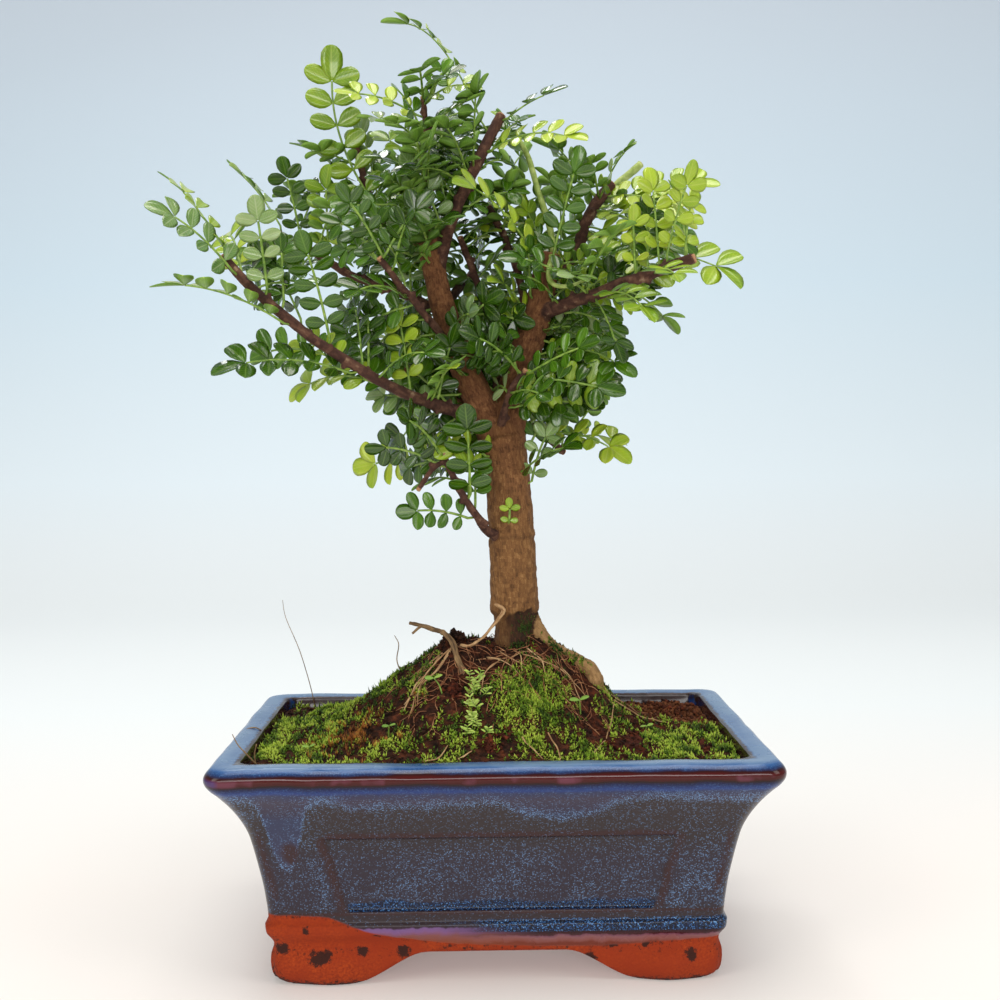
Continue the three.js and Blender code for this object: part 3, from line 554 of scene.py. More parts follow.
def bowl_ring(z, inset, inner=(22, 10), outer=(10, 9), corner_steps=9):
    """One level of the bowl: four walls with rounded corners, counterclockwise from above."""
    wide, deep = BOWL_WIDE / 2 - inset, BOWL_DEEP / 2 - inset
    radius = max(3.2, 5.4 - 0.13 * inset)
    front = side_places(panel_edge(PANEL_FRONT, z), wide - radius, inner[0], outer[0])
    side = side_places(panel_edge(PANEL_SIDE, z), deep - radius, inner[1], outer[1])
    ring = []
    for turn, places, reach, centre in (
            (0, front, deep, wide), (1, side, wide, deep), (2, front, deep, wide), (3, side, wide, deep)):
        cos, sin = (1, 0, -1, 0)[turn], (0, 1, 0, -1)[turn]
        limits = PANEL_FRONT if turn % 2 == 0 else PANEL_SIDE
        for place in places:
            within = min(z - PANEL_LOW, PANEL_HIGH - z, panel_edge(limits, z) - abs(place))
            out = reach - PANEL_SINK * smooth(-0.25, 0.75, within) * (inset < 15.5)
            out += foot_swell(z, place, FEET[turn % 2]) * (inset > 13)
            if turn == 0:
                place += PANEL_SHIFT * (1 - (abs(place) / (centre - radius)) ** 6)
            ring.append((place * cos + out * sin, place * sin - out * cos))
        for step in range(1, corner_steps):
            angle = math.pi / 2 * (step / corner_steps - 1)
            along = centre - radius + radius * math.cos(angle)
            away = reach - radius - radius * math.sin(angle)
            ring.append((along * cos + away * sin, along * sin - away * cos))
    return ring


def wall_rows():
    """Height and inset of every level, up the outside, over the rolled rim and down the inside."""
    profile = [(height, inset, 0) for height, inset in WALL]
    dense = [curve_at(profile, step / 600)[0] for step in range(601)]
    rising = [(p.x, p.y) for p in dense if p.x <= ROLL_START]
    heights = [0, 1.2, 2.5, 4, 5.5, 7, 8.2, 9, 10, 11, 11.8, 12.5, 13.1, 13.6, 14.1, 14.6, 15.2, 15.9,
               16.6, 17.2, 17.7, 18.1, 18.5, 18.9, 19.5, 20.1, 20.5, 20.75, 21, 21.3, 21.8, 22.5]
    heights += [23.4 + 1.05 * step for step in range(18)]
    heights += [41.8, 42.1, 42.35, 42.6, 42.9, 43.4] + [44.2 + 0.95 * step for step in range(12)]
    heights += [55.4, 56.1, 56.8, 57.4, 58, 58.6, 59.1]
    rows = [(height, table_value(rising, height)) for height in heights]
    rows += [(p.x, p.y) for p in dense[::6] if p.y < 8.2 and p.x > ROLL_START]
    rows += [(63.3, 8.35), *CAVITY]
    return rows


def hand_made(x, y, z):
    """Slow unevenness of a slip-cast and hand-dipped wall, in millimetres."""
    rim = smooth(54, 60, z)
    return 0.16 * grain(x, y, z, 22) + rim * 0.22 * grain(x, y, z + 50, 9)


def make_bowl_piece(finish):
    shape = Shape()
    rings = []
    for z, inset in wall_rows():
        ring = []
        for x, y in bowl_ring(z, inset):
            swell = 1 + hand_made(x, y, z) / 60
            lift = 0.3 * grain(x, y, 7, 16) * smooth(60, 64, z)
            ring.append((x * swell, y * swell, max(0, z + lift * (z > 60))))
        rings.append(ring)
    shape.add_rings(rings)
    piece = put_object("bowl_glazed", mesh_from("bowl_glazed", shape))

    # The arches between the feet run right through, and two round holes drain the floor
    for name, half_top, half_foot, reach, turned in ARCHES:
        arch = [(half_foot + 3, -2)] + [
            (lerp(half_foot, half_top, step / ARCH_STEPS), ARCH_HEIGHT * smooth(0, ARCH_STEPS, step))
            for step in range(ARCH_STEPS + 1)]
        outline = arch + [(-place, height) for place, height in reversed(arch)]
        cutter_shape = Shape()
        cutter_shape.add_rings([
            [(end, place, height) if turned else (place, end, height) for place, height in outline]
            for end in (-reach, reach)])
        cut_away(piece, name, cutter_shape)
    drains = Shape()
    for side in (-DRAIN_PLACE, DRAIN_PLACE):
        turns = [2 * math.pi * i / DRAIN_SIDES for i in range(DRAIN_SIDES)]
        circle = [(side + DRAIN_RADIUS * math.cos(turn), DRAIN_RADIUS * math.sin(turn)) for turn in turns]
        drains.add_rings([[(x, y, z) for x, y in circle] for z in (5, 20)])
    cut_away(piece, "drains", drains)
    mark_bowl(piece.data)
    return finish_piece(piece, [finish], ["bowl"])


def outward(mesh):
    solid = bmesh.new()
    solid.from_mesh(mesh)
    bmesh.ops.recalc_face_normals(solid, faces=solid.faces)
    solid.to_mesh(mesh)
    solid.free()


def cut_away(piece, name, shape):
    cutter = put_object("cutter_" + name, mesh_from("cutter_" + name, shape))
    outward(cutter.data)
    outward(piece.data)
    cut = piece.modifiers.new("cut", "BOOLEAN")
    cut.object, cut.operation, cut.solver = cutter, "DIFFERENCE", "EXACT"
    keep_result(piece)
    bpy.data.objects.remove(cutter)


def bowl_marks(x, y, z):
    from_side, from_front = BOWL_WIDE / 2 - abs(x), BOWL_DEEP / 2 - abs(y)
    long_wall = from_front <= from_side
    place, limits = (abs(x - PANEL_SHIFT * (y < 0)), PANEL_FRONT) if long_wall else (abs(y), PANEL_SIDE)
    edge = panel_edge(limits, z)
    inset = min(from_side, from_front)
    # 1 on the front wall, fading round its corners
    front = 0.0 if y > 0 else 1 - smooth(0, 22, from_front - from_side)
    drip = lerp(52.6 + 2.6 * grain(x, y, 0, 12), table_value(DRIP_EDGE, x), front)
    line = lerp(12.4 + 1.6 * grain(x, y, 3, 14), table_value(GLAZE_LINE, x), front)
    belt = lerp(0.55 + 0.5 * grain(x, y, 9, 17), table_value(BELT_POOL, x), front)
    ledge_top = 23.1 + 0.8 * grain(x, y, 13, 9)
    ledge = smooth(20.6, 21.1, z) * smooth(ledge_top + 0.5, ledge_top - 0.3, z)
    ledge *= smooth(-0.6, 1.2, edge - place)
    on_belt = smooth(14.5, 15.1, z) * smooth(18.7, 18.1, z)
    pool = max(ledge, belt * on_belt)
    frame_stripe = smooth(2.2, 0.6, abs(place - edge - 1.0 + 0.6 * grain(x, y, z, 7))) * smooth(19.5, 22, z)
    frame_stripe *= smooth(44, 42, z) * 0.85
    corner = abs(x) - (58.9 + 0.2 * z)
    corner_stripe = (smooth(1.8, 0.3, abs(corner + 3.4)) * smooth(21, 28, z) * smooth(48, 42, z)
                     * long_wall * 0.8)
    under_panel = smooth(19.7, 20.1, z) * smooth(20.9, 20.6, z)
    top_line = smooth(42.1, 42.5, z) * smooth(44.6, 43.7, z) * smooth(-1, 1, edge - place)
    spot = math.exp(-((x + 55.8) / 2.4) ** 2 - ((z - 38.5) / 3.2) ** 2) if front else 0
    thin = max(frame_stripe, corner_stripe, under_panel, top_line, spot * 1.2)
    # Clay darker towards the foot, low at both corners, in a band near 9.5 mm and just under the glaze line
    clay_darkening = 0.25 * smooth(3.0, 0, z) + 0.14 * smooth(-57, -61, x) * smooth(19, 14, z)
    clay_darkening = max(clay_darkening, 0.1 * hump(z, 9.5, 2.2), 0.1 * smooth(59, 61.5, x) * smooth(14, 10, z),
                0.13 * smooth(1.2, 0.2, abs(z - line + 0.3)))
    inner = inset if z > 54 and inset > 5 else 0.0
    return (drip, pool, thin), (z - line, clay_darkening, inner)


def mark_bowl(mesh):
    glaze, clay = [], []
    for vertex in mesh.vertices:
        place = (vertex.co - ORIGIN) / MM
        first, second = bowl_marks(*place)
        glaze += first
        clay += second
    for name, numbers in (("mark", glaze), ("clay", clay)):
        old = mesh.attributes.get(name)
        if old:
            mesh.attributes.remove(old)
        mesh.attributes.new(name, "FLOAT_VECTOR", "POINT").data.foreach_set("vector", numbers)


# Soil, crumbs and moss

MOUND = {"x": 5, "y": 4, "height": 28, "left": 44, "right": 31, "deep": 36}
CLUMP = {"x": -12, "y": -5, "height": 4, "radius": 7}
# Soil banked up along the surface root: its two ends, its height and how far it spreads
ROOT_BANK = ((13, -4), (28.5, -9), 3.2, 6.5)
SOIL_LEVEL, SOIL_INSET, SOIL_FLOOR = 60.6, 9.2, 14.8
# Spots of the surface: x, y, radius, and how much moss they add or take
MOSS_SPOTS = [(10, -27, 11, 0.9), (60, 32, 21, -1.3), (44, 2, 9, -0.5), (-64, -38, 7, -0.8),
              (-5, -29, 5, -0.3), (5, -6, 15, -0.75), (0, 22, 14, -0.35), (-62, 36, 9, -0.5),
              (58, -40, 6, -0.5), (13, -20, 5, 0.6), (9, -8, 4, 0.6), (-10, -20, 5, -0.6),
              (-1, -38, 5, -0.6), (32, -31, 5, -0.4), (24.6, -14, 4.5, -0.9), (24.7, -24, 4.5, -0.8),
              (-2, -15, 6, -0.7), (19, -36, 4, -0.6), (4.4, -38, 4, -0.5), (-13, -13, 5, -0.5),
              (13.5, -37.5, 3, -0.5)]
# Bright cushion of moss in front of the trunk, and the height above which moss is dark
BRIGHT_CUSHION = (11, -24, 8)
DARK_MOSS = 74, 85
RUSSET_SPOT = (-38, -22, 8.5)
# Half width and half depth of what moss may cover, and of the ground for crumbs
MOSS_REACH, CRUMB_REACH = (69, 44), (67, 42)
MOSS_PITCH, TUFT_BLADES, CUSHION_TUFTS, CLIMBING_TUFTS = 0.84, 5, 420, 150
CRUMBS, CLOD_CRUMBS = 7600, 60
# Heaps of reddish bark crumbs: x, y, spread, number, and the least and the greatest size
HEAPS = [(-11.5, -20.8, 2.6, 60, 0.5, 1.1), (-1.5, -37.5, 2.8, 70, 0.5, 1.0), (2, -35, 2.0, 30, 0.4, 0.9),
         (60, 32, 9, 260, 0.4, 1.2), (33, -30, 3, 40, 0.4, 0.9)]
# Lumps of the black clod on the left shoulder of the mound: x, y, z and spread
CLOD = [(-13.6, -5.2, 91, 0.6), (-11.6, -5, 92, 0.65), (-9.4, -5, 91.2, 0.6), (-12, -5, 89.4, 1.5)]


def soil_height(x, y):
    away = math.hypot((x - MOUND["x"]) / (MOUND["left"] if x < MOUND["x"] else MOUND["right"]),
                      (y - MOUND["y"]) / MOUND["deep"])
    waves = 0.5 * math.sin(0.31 * x + 1.1) * math.cos(0.27 * y) + 0.35 * math.sin(0.52 * y + 0.4 * x)
    off_clump = math.hypot(x - CLUMP["x"], y - CLUMP["y"]) / CLUMP["radius"]
    clump = CLUMP["height"] * math.exp(-off_clump ** 2)
    (x0, y0), (x1, y1), bank, spread = ROOT_BANK
    share = ((x - x0) * (x1 - x0) + (y - y0) * (y1 - y0)) / ((x1 - x0) ** 2 + (y1 - y0) ** 2)
    share = min(max(share, 0), 1)
    off_root = math.hypot(x - lerp(x0, x1, share), y - lerp(y0, y1, share)) / spread
    bank *= math.exp(-off_root ** 2)
    return SOIL_LEVEL + MOUND["height"] * math.exp(-away ** 3) + clump + waves + bank


def rough_soil(x, y):
    """Top of the soil with its crumbs, kept down at the bowl's wall."""
    rim = (smooth(0, 4, BOWL_WIDE / 2 - SOIL_INSET - abs(x))
           * smooth(0, 4, BOWL_DEEP / 2 - SOIL_INSET - abs(y)))
    lumps = 0.75 * grain(x, y, 0, 3.2) + 0.45 * grain(x, y, 5, 1.5)
    cushion = 1.3 * max(0, 0.25 + grain(x, y, 21, 5.5)) * (1 - bareness(x, y))
    return soil_height(x, y) + (lumps + cushion) * lerp(0.25, 1, rim)


def bareness(x, y):
    """0 where moss covers the soil, 1 where the red-brown compost lies open."""
    cover = 0.58 + 0.75 * grain(x, y, 11, 8) + 0.4 * grain(x, y, 4, 3)
    cover += sum(amount * near(x, y, spot) for *spot, amount in MOSS_SPOTS)
    return 1 - min(max(cover, 0), 1)


def soil_tone(x, y):
    """How red and how dry the soil lies: dark on the mound, red-brown at the right and dry behind it."""
    red = smooth(0.3, 0.8, bareness(x, y)) * lerp(0.25, 1, smooth(18, 40, x))
    return red, smooth(34, 52, x) * smooth(0, 22, y), 0


def make_soil_piece(finish):
    shape = Shape()
    side = {"inner": (30, 17), "outer": (6, 6), "corner_steps": 3}
    rings = [[(x, y, height) for x, y in bowl_ring(height, inset + 0.35, **side)]
             for height, inset in [(SOIL_FLOOR, 20.2), *reversed(CAVITY[1:-1])]]
    edge = bowl_ring(0, SOIL_INSET, **side)
    steps = 62
    for step in range(steps):
        reach = 1 - step / steps
        ring = []
        for x, y in edge:
            sx, sy = MOUND["x"] + reach * (x - MOUND["x"]), MOUND["y"] + reach * (y - MOUND["y"])
            ring.append((sx, sy, rough_soil(sx, sy)))
        rings.append(ring)
    marks = [[soil_tone(x, y) if z > 50 else (0, 0, 0) for x, y, z in ring] for ring in rings]
    shape.add_rings(rings, marks)
    return add_piece("soil_damp", shape, [finish], ["soil_mound"])


def add_crumb(shape, rng, x, y, z, size, red, dry=0):
    axes = [Vector((size * rng.uniform(0.6, 1.2), 0, 0)), Vector((0, size * rng.uniform(0.6, 1.2), 0)),
            Vector((0, 0, size * rng.uniform(0.5, 1)))]
    turn = Euler([rng.uniform(0, 6.3) for _ in range(3)]).to_matrix()
    points = [Vector((x, y, z)) + turn @ (sign * axis) for axis in axes for sign in (1, -1)]
    faces = [(0, 2, 4), (2, 1, 4), (1, 3, 4), (3, 0, 4), (2, 0, 5), (1, 2, 5), (3, 1, 5), (0, 3, 5)]
    shape.add(points, faces, [(red, dry, 0)] * 6)


def make_crumbs_piece(finish):
    rng = random.Random(41)
    shape = Shape()
    wide, deep = CRUMB_REACH
    for _ in range(CRUMBS):
        x, y = rng.uniform(-wide, wide), rng.uniform(-deep, deep)
        if rng.random() > 0.2 + 0.8 * bareness(x, y):
            continue
        size = rng.choice((0.35, 0.45, 0.6, 0.9))
        red, dry, _ = soil_tone(x, y)
        add_crumb(shape, rng, x, y, rough_soil(x, y) + 0.25 * size, size,
                  rng.random() * max(red, 0.4), dry * rng.random())
    for cx, cy, spread, count, low, high in HEAPS:
        for _ in range(count):
            x, y = rng.gauss(cx, spread / 2), rng.gauss(cy, spread / 2)
            if abs(x) < wide and abs(y) < deep:
                add_crumb(shape, rng, x, y, rough_soil(x, y) + rng.uniform(0.1, 1.1),
                          rng.uniform(low, high), 1.0, rng.uniform(0, 0.8) * (cx > 50))
    for cx, cy, cz, spread in CLOD:
        for _ in range(CLOD_CRUMBS):
            x, y, z = rng.gauss(cx, spread), rng.gauss(cy, spread), rng.gauss(cz, spread)
            add_crumb(shape, rng, x, y, z, rng.uniform(0.5, 1.1), 0.1)
    return add_piece("soil_crumbs", shape, [finish])


def add_tuft(shape, rng, foot, height, blades, russet):
    """A small moss shoot: pointed leaves round its foot, the inner ones upright."""
    bright = near(foot.x, foot.y, BRIGHT_CUSHION)
    tone = (0.5 + 1.1 * grain(foot.x, foot.y, 31, 5) + 0.7 * grain(foot.x, foot.y, 41, 1.9)
            + rng.uniform(-0.2, 0.2))
    tone = min(max(tone + 0.06 * bright - 0.55 * (1 - bright) * smooth(*DARK_MOSS, foot.z), 0), 1)
    first = rng.uniform(0, 2 * math.pi)
    for blade in range(blades):
        inner = blade % 2
        turn = first + 2.4 * blade
        lean = rng.uniform(0.15, 0.5) if inner or russet else rng.uniform(0.75, 1.25)
        length = height * rng.uniform(0.7, 1.15) * (1 if inner or russet else 0.85)
        out = Vector((math.cos(turn), math.sin(turn), 0))
        along = out * math.sin(lean) + Vector((0, 0, math.cos(lean)))
        across = Vector((-out.y, out.x, 0)) * (0.09 if russet else 0.27)
        above = across.cross(along).normalized() * 0.09
        root = foot + Vector((0, 0, 0.3 * inner))
        middle = root + along * length * 0.45 - above
        light = min(1, tone + rng.uniform(-0.2, 0.3))
        shape.add([root, middle + across, middle - across, root + along * length],
                  [(0, 2, 1), (0, 1, 3), (1, 2, 3), (2, 0, 3)],
                  [(0.0, tone, russet), (0.55, tone, russet), (0.55, tone, russet), (1.0, light, russet)])


def make_moss_pieces(finish):
    rng = random.Random(17)
    halves = {"moss_left": Shape(), "moss_right": Shape()}
    wide, deep = MOSS_REACH
    for column in range(int(2 * wide / MOSS_PITCH)):
        for row in range(int(2 * deep / MOSS_PITCH)):
            x = -wide + MOSS_PITCH * (column + rng.uniform(0, 1))
            y = -deep + MOSS_PITCH * (row + rng.uniform(0, 1))
            over_corner = math.hypot(max(abs(x) - 64, 0), max(abs(y) - 39, 0))
            if over_corner > 4 or rng.random() < 1.15 * bareness(x, y):
                continue
            russet = 1.0 if rng.random() < 0.85 * near(x, y, RUSSET_SPOT) else 0.0
            height = (rng.uniform(1.0, 1.75) * (1.7 if russet else 1)
                      * lerp(0.75, 1.25, 0.5 + 0.5 * grain(x, y, 2, 4)))
            height *= rng.choice((1, 1, 1, 1, 1, 1, 1.5))
            foot = Vector((x, y, rough_soil(x, y) - 0.15))
            add_tuft(halves["moss_left" if x < 0 else "moss_right"], rng, foot, height, TUFT_BLADES, russet)
    cx, cy, radius = BRIGHT_CUSHION
    for _ in range(CUSHION_TUFTS):
        x, y = rng.gauss(cx, 0.6 * radius), rng.gauss(cy, 0.6 * radius)
        foot = Vector((x, y, rough_soil(x, y) - 0.1))
        add_tuft(halves["moss_right"], rng, foot, rng.uniform(1.0, 1.7), TUFT_BLADES, 0.0)
    # Moss that climbs the foot of the trunk and the surface root
    for _ in range(CLIMBING_TUFTS):
        turn = rng.gauss(-1.15, 0.26)
        foot = Vector((7 + 6.4 * math.cos(turn), 6.4 * math.sin(turn), rng.gauss(93, 1.9)))
        add_tuft(halves["moss_right"], rng, foot, rng.uniform(0.5, 0.9), TUFT_BLADES, 0.0)
    for _ in range(CLIMBING_TUFTS):
        share = rng.choice((rng.gauss(0.43, 0.05), rng.gauss(0.64, 0.05)))
        centre, _ = curve_at(WOOD["surface_root"][0], share)
        foot = centre + Vector((rng.gauss(-0.4, 0.8), -1.7 + rng.gauss(0, 0.3), rng.gauss(0, 0.6)))
        add_tuft(halves["moss_right"], rng, foot, rng.uniform(0.6, 1.2), TUFT_BLADES, 0.0)
    return [add_piece(name, shape, [finish]) for name, shape in halves.items()]


# Stems

WOOD = {
    "trunk": ([(7, 0, 70), (7, 0, 80), (7, 0, 90), (6.6, 0, 99), (6.3, 0, 109), (6, 0, 119), (5.4, 0, 130),
               (4.6, 0, 141), (3, 0, 151)], [5.4, 6.6, 6.9, 7.2, 6.9, 7.1, 6.7, 6.5, 7.2]),
    "left_leader": ([(2.6, 0, 147), (-2, 0, 159), (-8, 1, 172), (-13, 2, 186), (-16, 2, 198),
                     (-19, 1, 211), (-23, 0, 224)], [5.6, 4.7, 4.3, 3.9, 3.5, 3.2, 2.9]),
    "right_leader": ([(3, 0, 147), (6, 1, 160), (9, 2, 171), (12, 3, 181), (15, 4, 191), (18, 4, 206)],
                     [6.4, 5.5, 5, 4.6, 4.3, 3.6]),
    "low_left": ([(-3, 0, 157), (-9, -4, 158.5), (-15, -10, 160), (-25, -18, 163.6), (-38, -25, 170.8),
                  (-50, -31, 179.2), (-63, -35, 190), (-72, -37, 200)],
                 [2.4, 2.0, 1.75, 1.6, 1.5, 1.45, 1.4, 1.3]),
    "high_left": ([(-13, 2, 187), (-20, 8, 192), (-31, 14, 197), (-45, 17, 203), (-56, 19, 210),
                   (-67, 20, 216)], [1.8, 1.5, 1.4, 1.3, 1.2, 1.1]),
    "front_left": ([(-9, 0, 175), (-17, -10, 184), (-23, -17, 191), (-31, -24, 201)], [1.5, 1.2, 1.1, 1]),
    "upper_left": ([(-17, 1, 204), (-25, 14, 212), (-33, 22, 219), (-38, 25, 229), (-43, 27, 247)],
                   [1.7, 1.3, 1.2, 1.2, 1.2]),
    "stub_left": ([(-3, 1, 155), (-14, 10, 163), (-24, 18, 171), (-32, 24, 178)], [3.2, 3, 2.9, 2.8]),
    "top_stub": ([(-19, 1, 212), (-18, -4, 226), (-18, -6, 240), (-19, -7, 250)], [1.5, 1.1, 1, 0.9]),
    "top_branch": ([(-16, 2, 199), (-12, 0, 213), (-7, 1, 225), (-3, 3, 234), (4, 6, 248)],
                   [2.2, 1.9, 1.8, 1.8, 1.7]),
    "mid_left": ([(1, 2, 151), (2, 10, 178), (-3, 13, 196), (-9, 15, 213)], [1.8, 1.3, 1.2, 1.1]),
    "mid_right": ([(12, 4, 180), (10, 15, 197), (6, 21, 211), (0, 24, 224)], [1.9, 1.4, 1.3, 1.2]),
    "right_branch": ([(14, 3, 187), (22, -2, 190), (33, -9, 193), (45, -14, 197), (58, -20, 201)],
                     [2.5, 2.0, 1.85, 1.75, 1.6]),
    "right_upper": ([(16, 4, 191), (21, 13, 199), (27, 18, 209), (32, 21, 221), (39, 24, 231)],
                    [2.1, 1.9, 1.9, 1.9, 1.8]),
    "front_right": ([(2, -2, 151), (4, -10, 159), (6, -12, 165), (10, -15, 170)], [1.5, 1.1, 1, 1]),
    "low_right": ([(4, 1, 150), (12, 11, 154), (17, 16, 151), (23, 21, 146)], [1.7, 1.3, 1.2, 1.2]),
    "side_shoot": ([(3, -2, 120), (-2, -8, 124), (-6, -13, 130), (-10, -16, 137), (-14, -18, 146)],
                   [1.7, 1.4, 1.2, 1.1, 1]),
    "side_twig": ([(-13, -18, 144.5), (-17, -20, 142), (-21, -22, 136)], [0.9, 0.8, 0.8]),
    "back_branch": ([(-13, 3, 186), (-14, 18, 192), (-9, 33, 200), (-4, 44, 208)], [2, 1.6, 1.4, 1.3]),
    "back_right": ([(13, 4, 183), (19, 20, 187), (29, 33, 192)], [1.9, 1.5, 1.3]),
    "surface_root": ([(9.6, 0.4, 101), (11.1, -0.8, 97.2), (12.7, -2.2, 93.8), (15.2, -4, 90.6),
                      (19, -5.6, 87.2), (23.6, -7, 85.2), (27, -8, 83.2), (29.5, -8.6, 80.4),
                      (30.3, -9, 77), (30.2, -9, 73)], [3.0, 2.8, 2.3, 2.1, 1.8, 1.8, 2.2, 2.6, 2.3, 1.8]),
}
GREEN_SHOOTS = {
    "green_shoot_tall": ([(19.5, 5.5, 206.4), (18.6, 8.6, 214), (15, 11, 227), (12.6, 12.5, 236),
                          (9.8, 14, 242)], [1.1, 1, 0.9, 0.9, 0.8]),
    "green_shoot_right": ([(36.9, 25.9, 225.3), (40, 27.6, 230), (44.5, 28, 234), (49, 28, 238)],
                          [1.3, 1.3, 1.2, 1.2]),
}
DEAD_TWIG = ([(-7.6, -19, 76), (-9, -15, 83), (-11.1, -11, 88), (-13, -9, 91.5), (-15.4, -8, 93.6),
              (-19, -6, 94.4), (-25, -4, 95.6)], [0.95, 0.9, 0.8, 0.8, 0.7, 0.65, 0.5])
DEAD_TWIG_FORK = ([(-18, -6.4, 94.2), (-21, -7, 95), (-24, -8, 93)], [0.6, 0.45, 0.35])
LOOSE_ROOT = ([(0.6, -8.4, 101.6), (3.2, -7.5, 99.6), (1.7, -8.2, 97), (-1, -9.4, 94.6), (-4, -9.6, 91.6),
               (-7, -9, 89.4), (-11, -8, 89.4), (-14, -10, 86.4), (-17, -12, 82.6), (-21, -14, 78.9)],
              [0.4, 0.72, 0.58, 0.42, 0.38, 0.46, 0.38, 0.42, 0.34, 0.25])
CURLED_SHOOT = ([(18, 3, 205), (18.6, -1.5, 204), (17.6, -6, 200.8), (17.2, -9, 197), (19.3, -10.4, 194.7),
                 (23.4, -10.4, 194.6), (28.6, -9.4, 196.8)], [0.9, 0.85, 0.8, 0.75, 0.7, 0.55, 0.3])
# Millimetres between leaf scars, grid of the fused bark, and heights of two rings on the trunk
SCAR_SPACING, BARK_VOXEL = 5.5, 0.58
COLLAR_HEIGHT, NECK_HEIGHT = 122.4, 98.6
# How dark and smooth the bark is: 0 corky and tan, 0.5 the leaders, 1 young and dark
BARK_TONE = {"trunk": 0.0, "left_leader": 0.5, "right_leader": 0.5, "stub_left": 0.25, "surface_root": 0.0}


def stem_frames(route, step):
    """Points along a route with two sideways directions, turned as little as possible."""
    length = route_length(route)
    count = max(2, round(length / step))
    side = Vector((0.31, 0.95, 0.05))
    frames = []
    for index in range(count + 1):
        centre, along = curve_at(route, index / count)
        side = (side - along * side.dot(along)).normalized()
        frames.append((index / count, centre, along, side, along.cross(side), length * index / count))
    return frames


def add_stem(shape, stem, step, sides, rng, knot=0.0, bend=0.0, finish=0):
    """A round stem with small knots and bends; each mark is the place in the stem's own axes."""
    route, radii = stem
    rings, marks = [], []
    seed = rng.uniform(0, 100)
    for share, centre, _, side, across, distance in stem_frames(route, step):
        sway = side * grain(distance, seed, 0, 6) + across * grain(distance, seed, 9, 6)
        centre = centre + sway * bend * math.sin(math.pi * share)
        radius = radius_at(radii, share)
        radius *= (1 + knot * max(0, grain(distance, seed, 3, 2.3))
                   + 0.4 * knot * grain(distance, seed, 8, 1.1))
        ring, mark = [], []
        for i in range(sides):
            angle = 2 * math.pi * i / sides
            a, b = radius * math.cos(angle), radius * math.sin(angle)
            ring.append(centre + side * a + across * b)
            mark.append((a + seed, b, distance))
        rings.append(ring)
        marks.append(mark)
    shape.add_rings(rings, marks, finish)


def make_tree_piece(finish):
    rng = random.Random(5)
    shape = Shape()
    samples = []
    for name, stem in WOOD.items():
        thick = stem[1][0] > 4
        add_stem(shape, stem, 0.8, 24 if thick else 12, rng,
                 knot=0.05 if thick else 0.16, bend=0.0 if thick else 0.5)
        for share, centre, _, side, across, distance in stem_frames(stem[0], 1.0):
            samples.append((centre, side, across, distance, radius_at(stem[1], share), name))
        if name not in BARK_TONE or name == "stub_left":
            # Leaf scars stand out on alternate sides of the shoots
            for count in range(1, int(route_length(stem[0]) / SCAR_SPACING)):
                share = count * SCAR_SPACING / route_length(stem[0])
                centre, along = curve_at(stem[0], share)
                radius = radius_at(stem[1], share)
                turn = Matrix.Rotation(2.4 * count + rng.uniform(-0.4, 0.4), 3, along)
                out = turn @ along.orthogonal().normalized()
                scar = centre + out * radius * 0.6
                add_stem(shape, ([scar, scar + out * (0.4 * radius + 0.5) + along * 0.4,
                                  scar + out * (0.4 * radius + 1.1) + along * 0.8], [0.95, 0.8, 0.5]),
                         0.3, 8, rng)
    mesh = mesh_from("bark_tree", shape)
    outward(mesh)
    piece = put_object("bark_tree", mesh)
    fuse = piece.modifiers.new("fuse", "REMESH")
    fuse.mode, fuse.voxel_size, fuse.use_smooth_shade = "VOXEL", BARK_VOXEL * MM, True
    even = piece.modifiers.new("even", "SMOOTH")
    even.factor, even.iterations = 0.5, 2
    keep_result(piece)
    carve_bark(piece.data, samples)
    return finish_piece(piece, [finish], ["trunk_and_branches"])


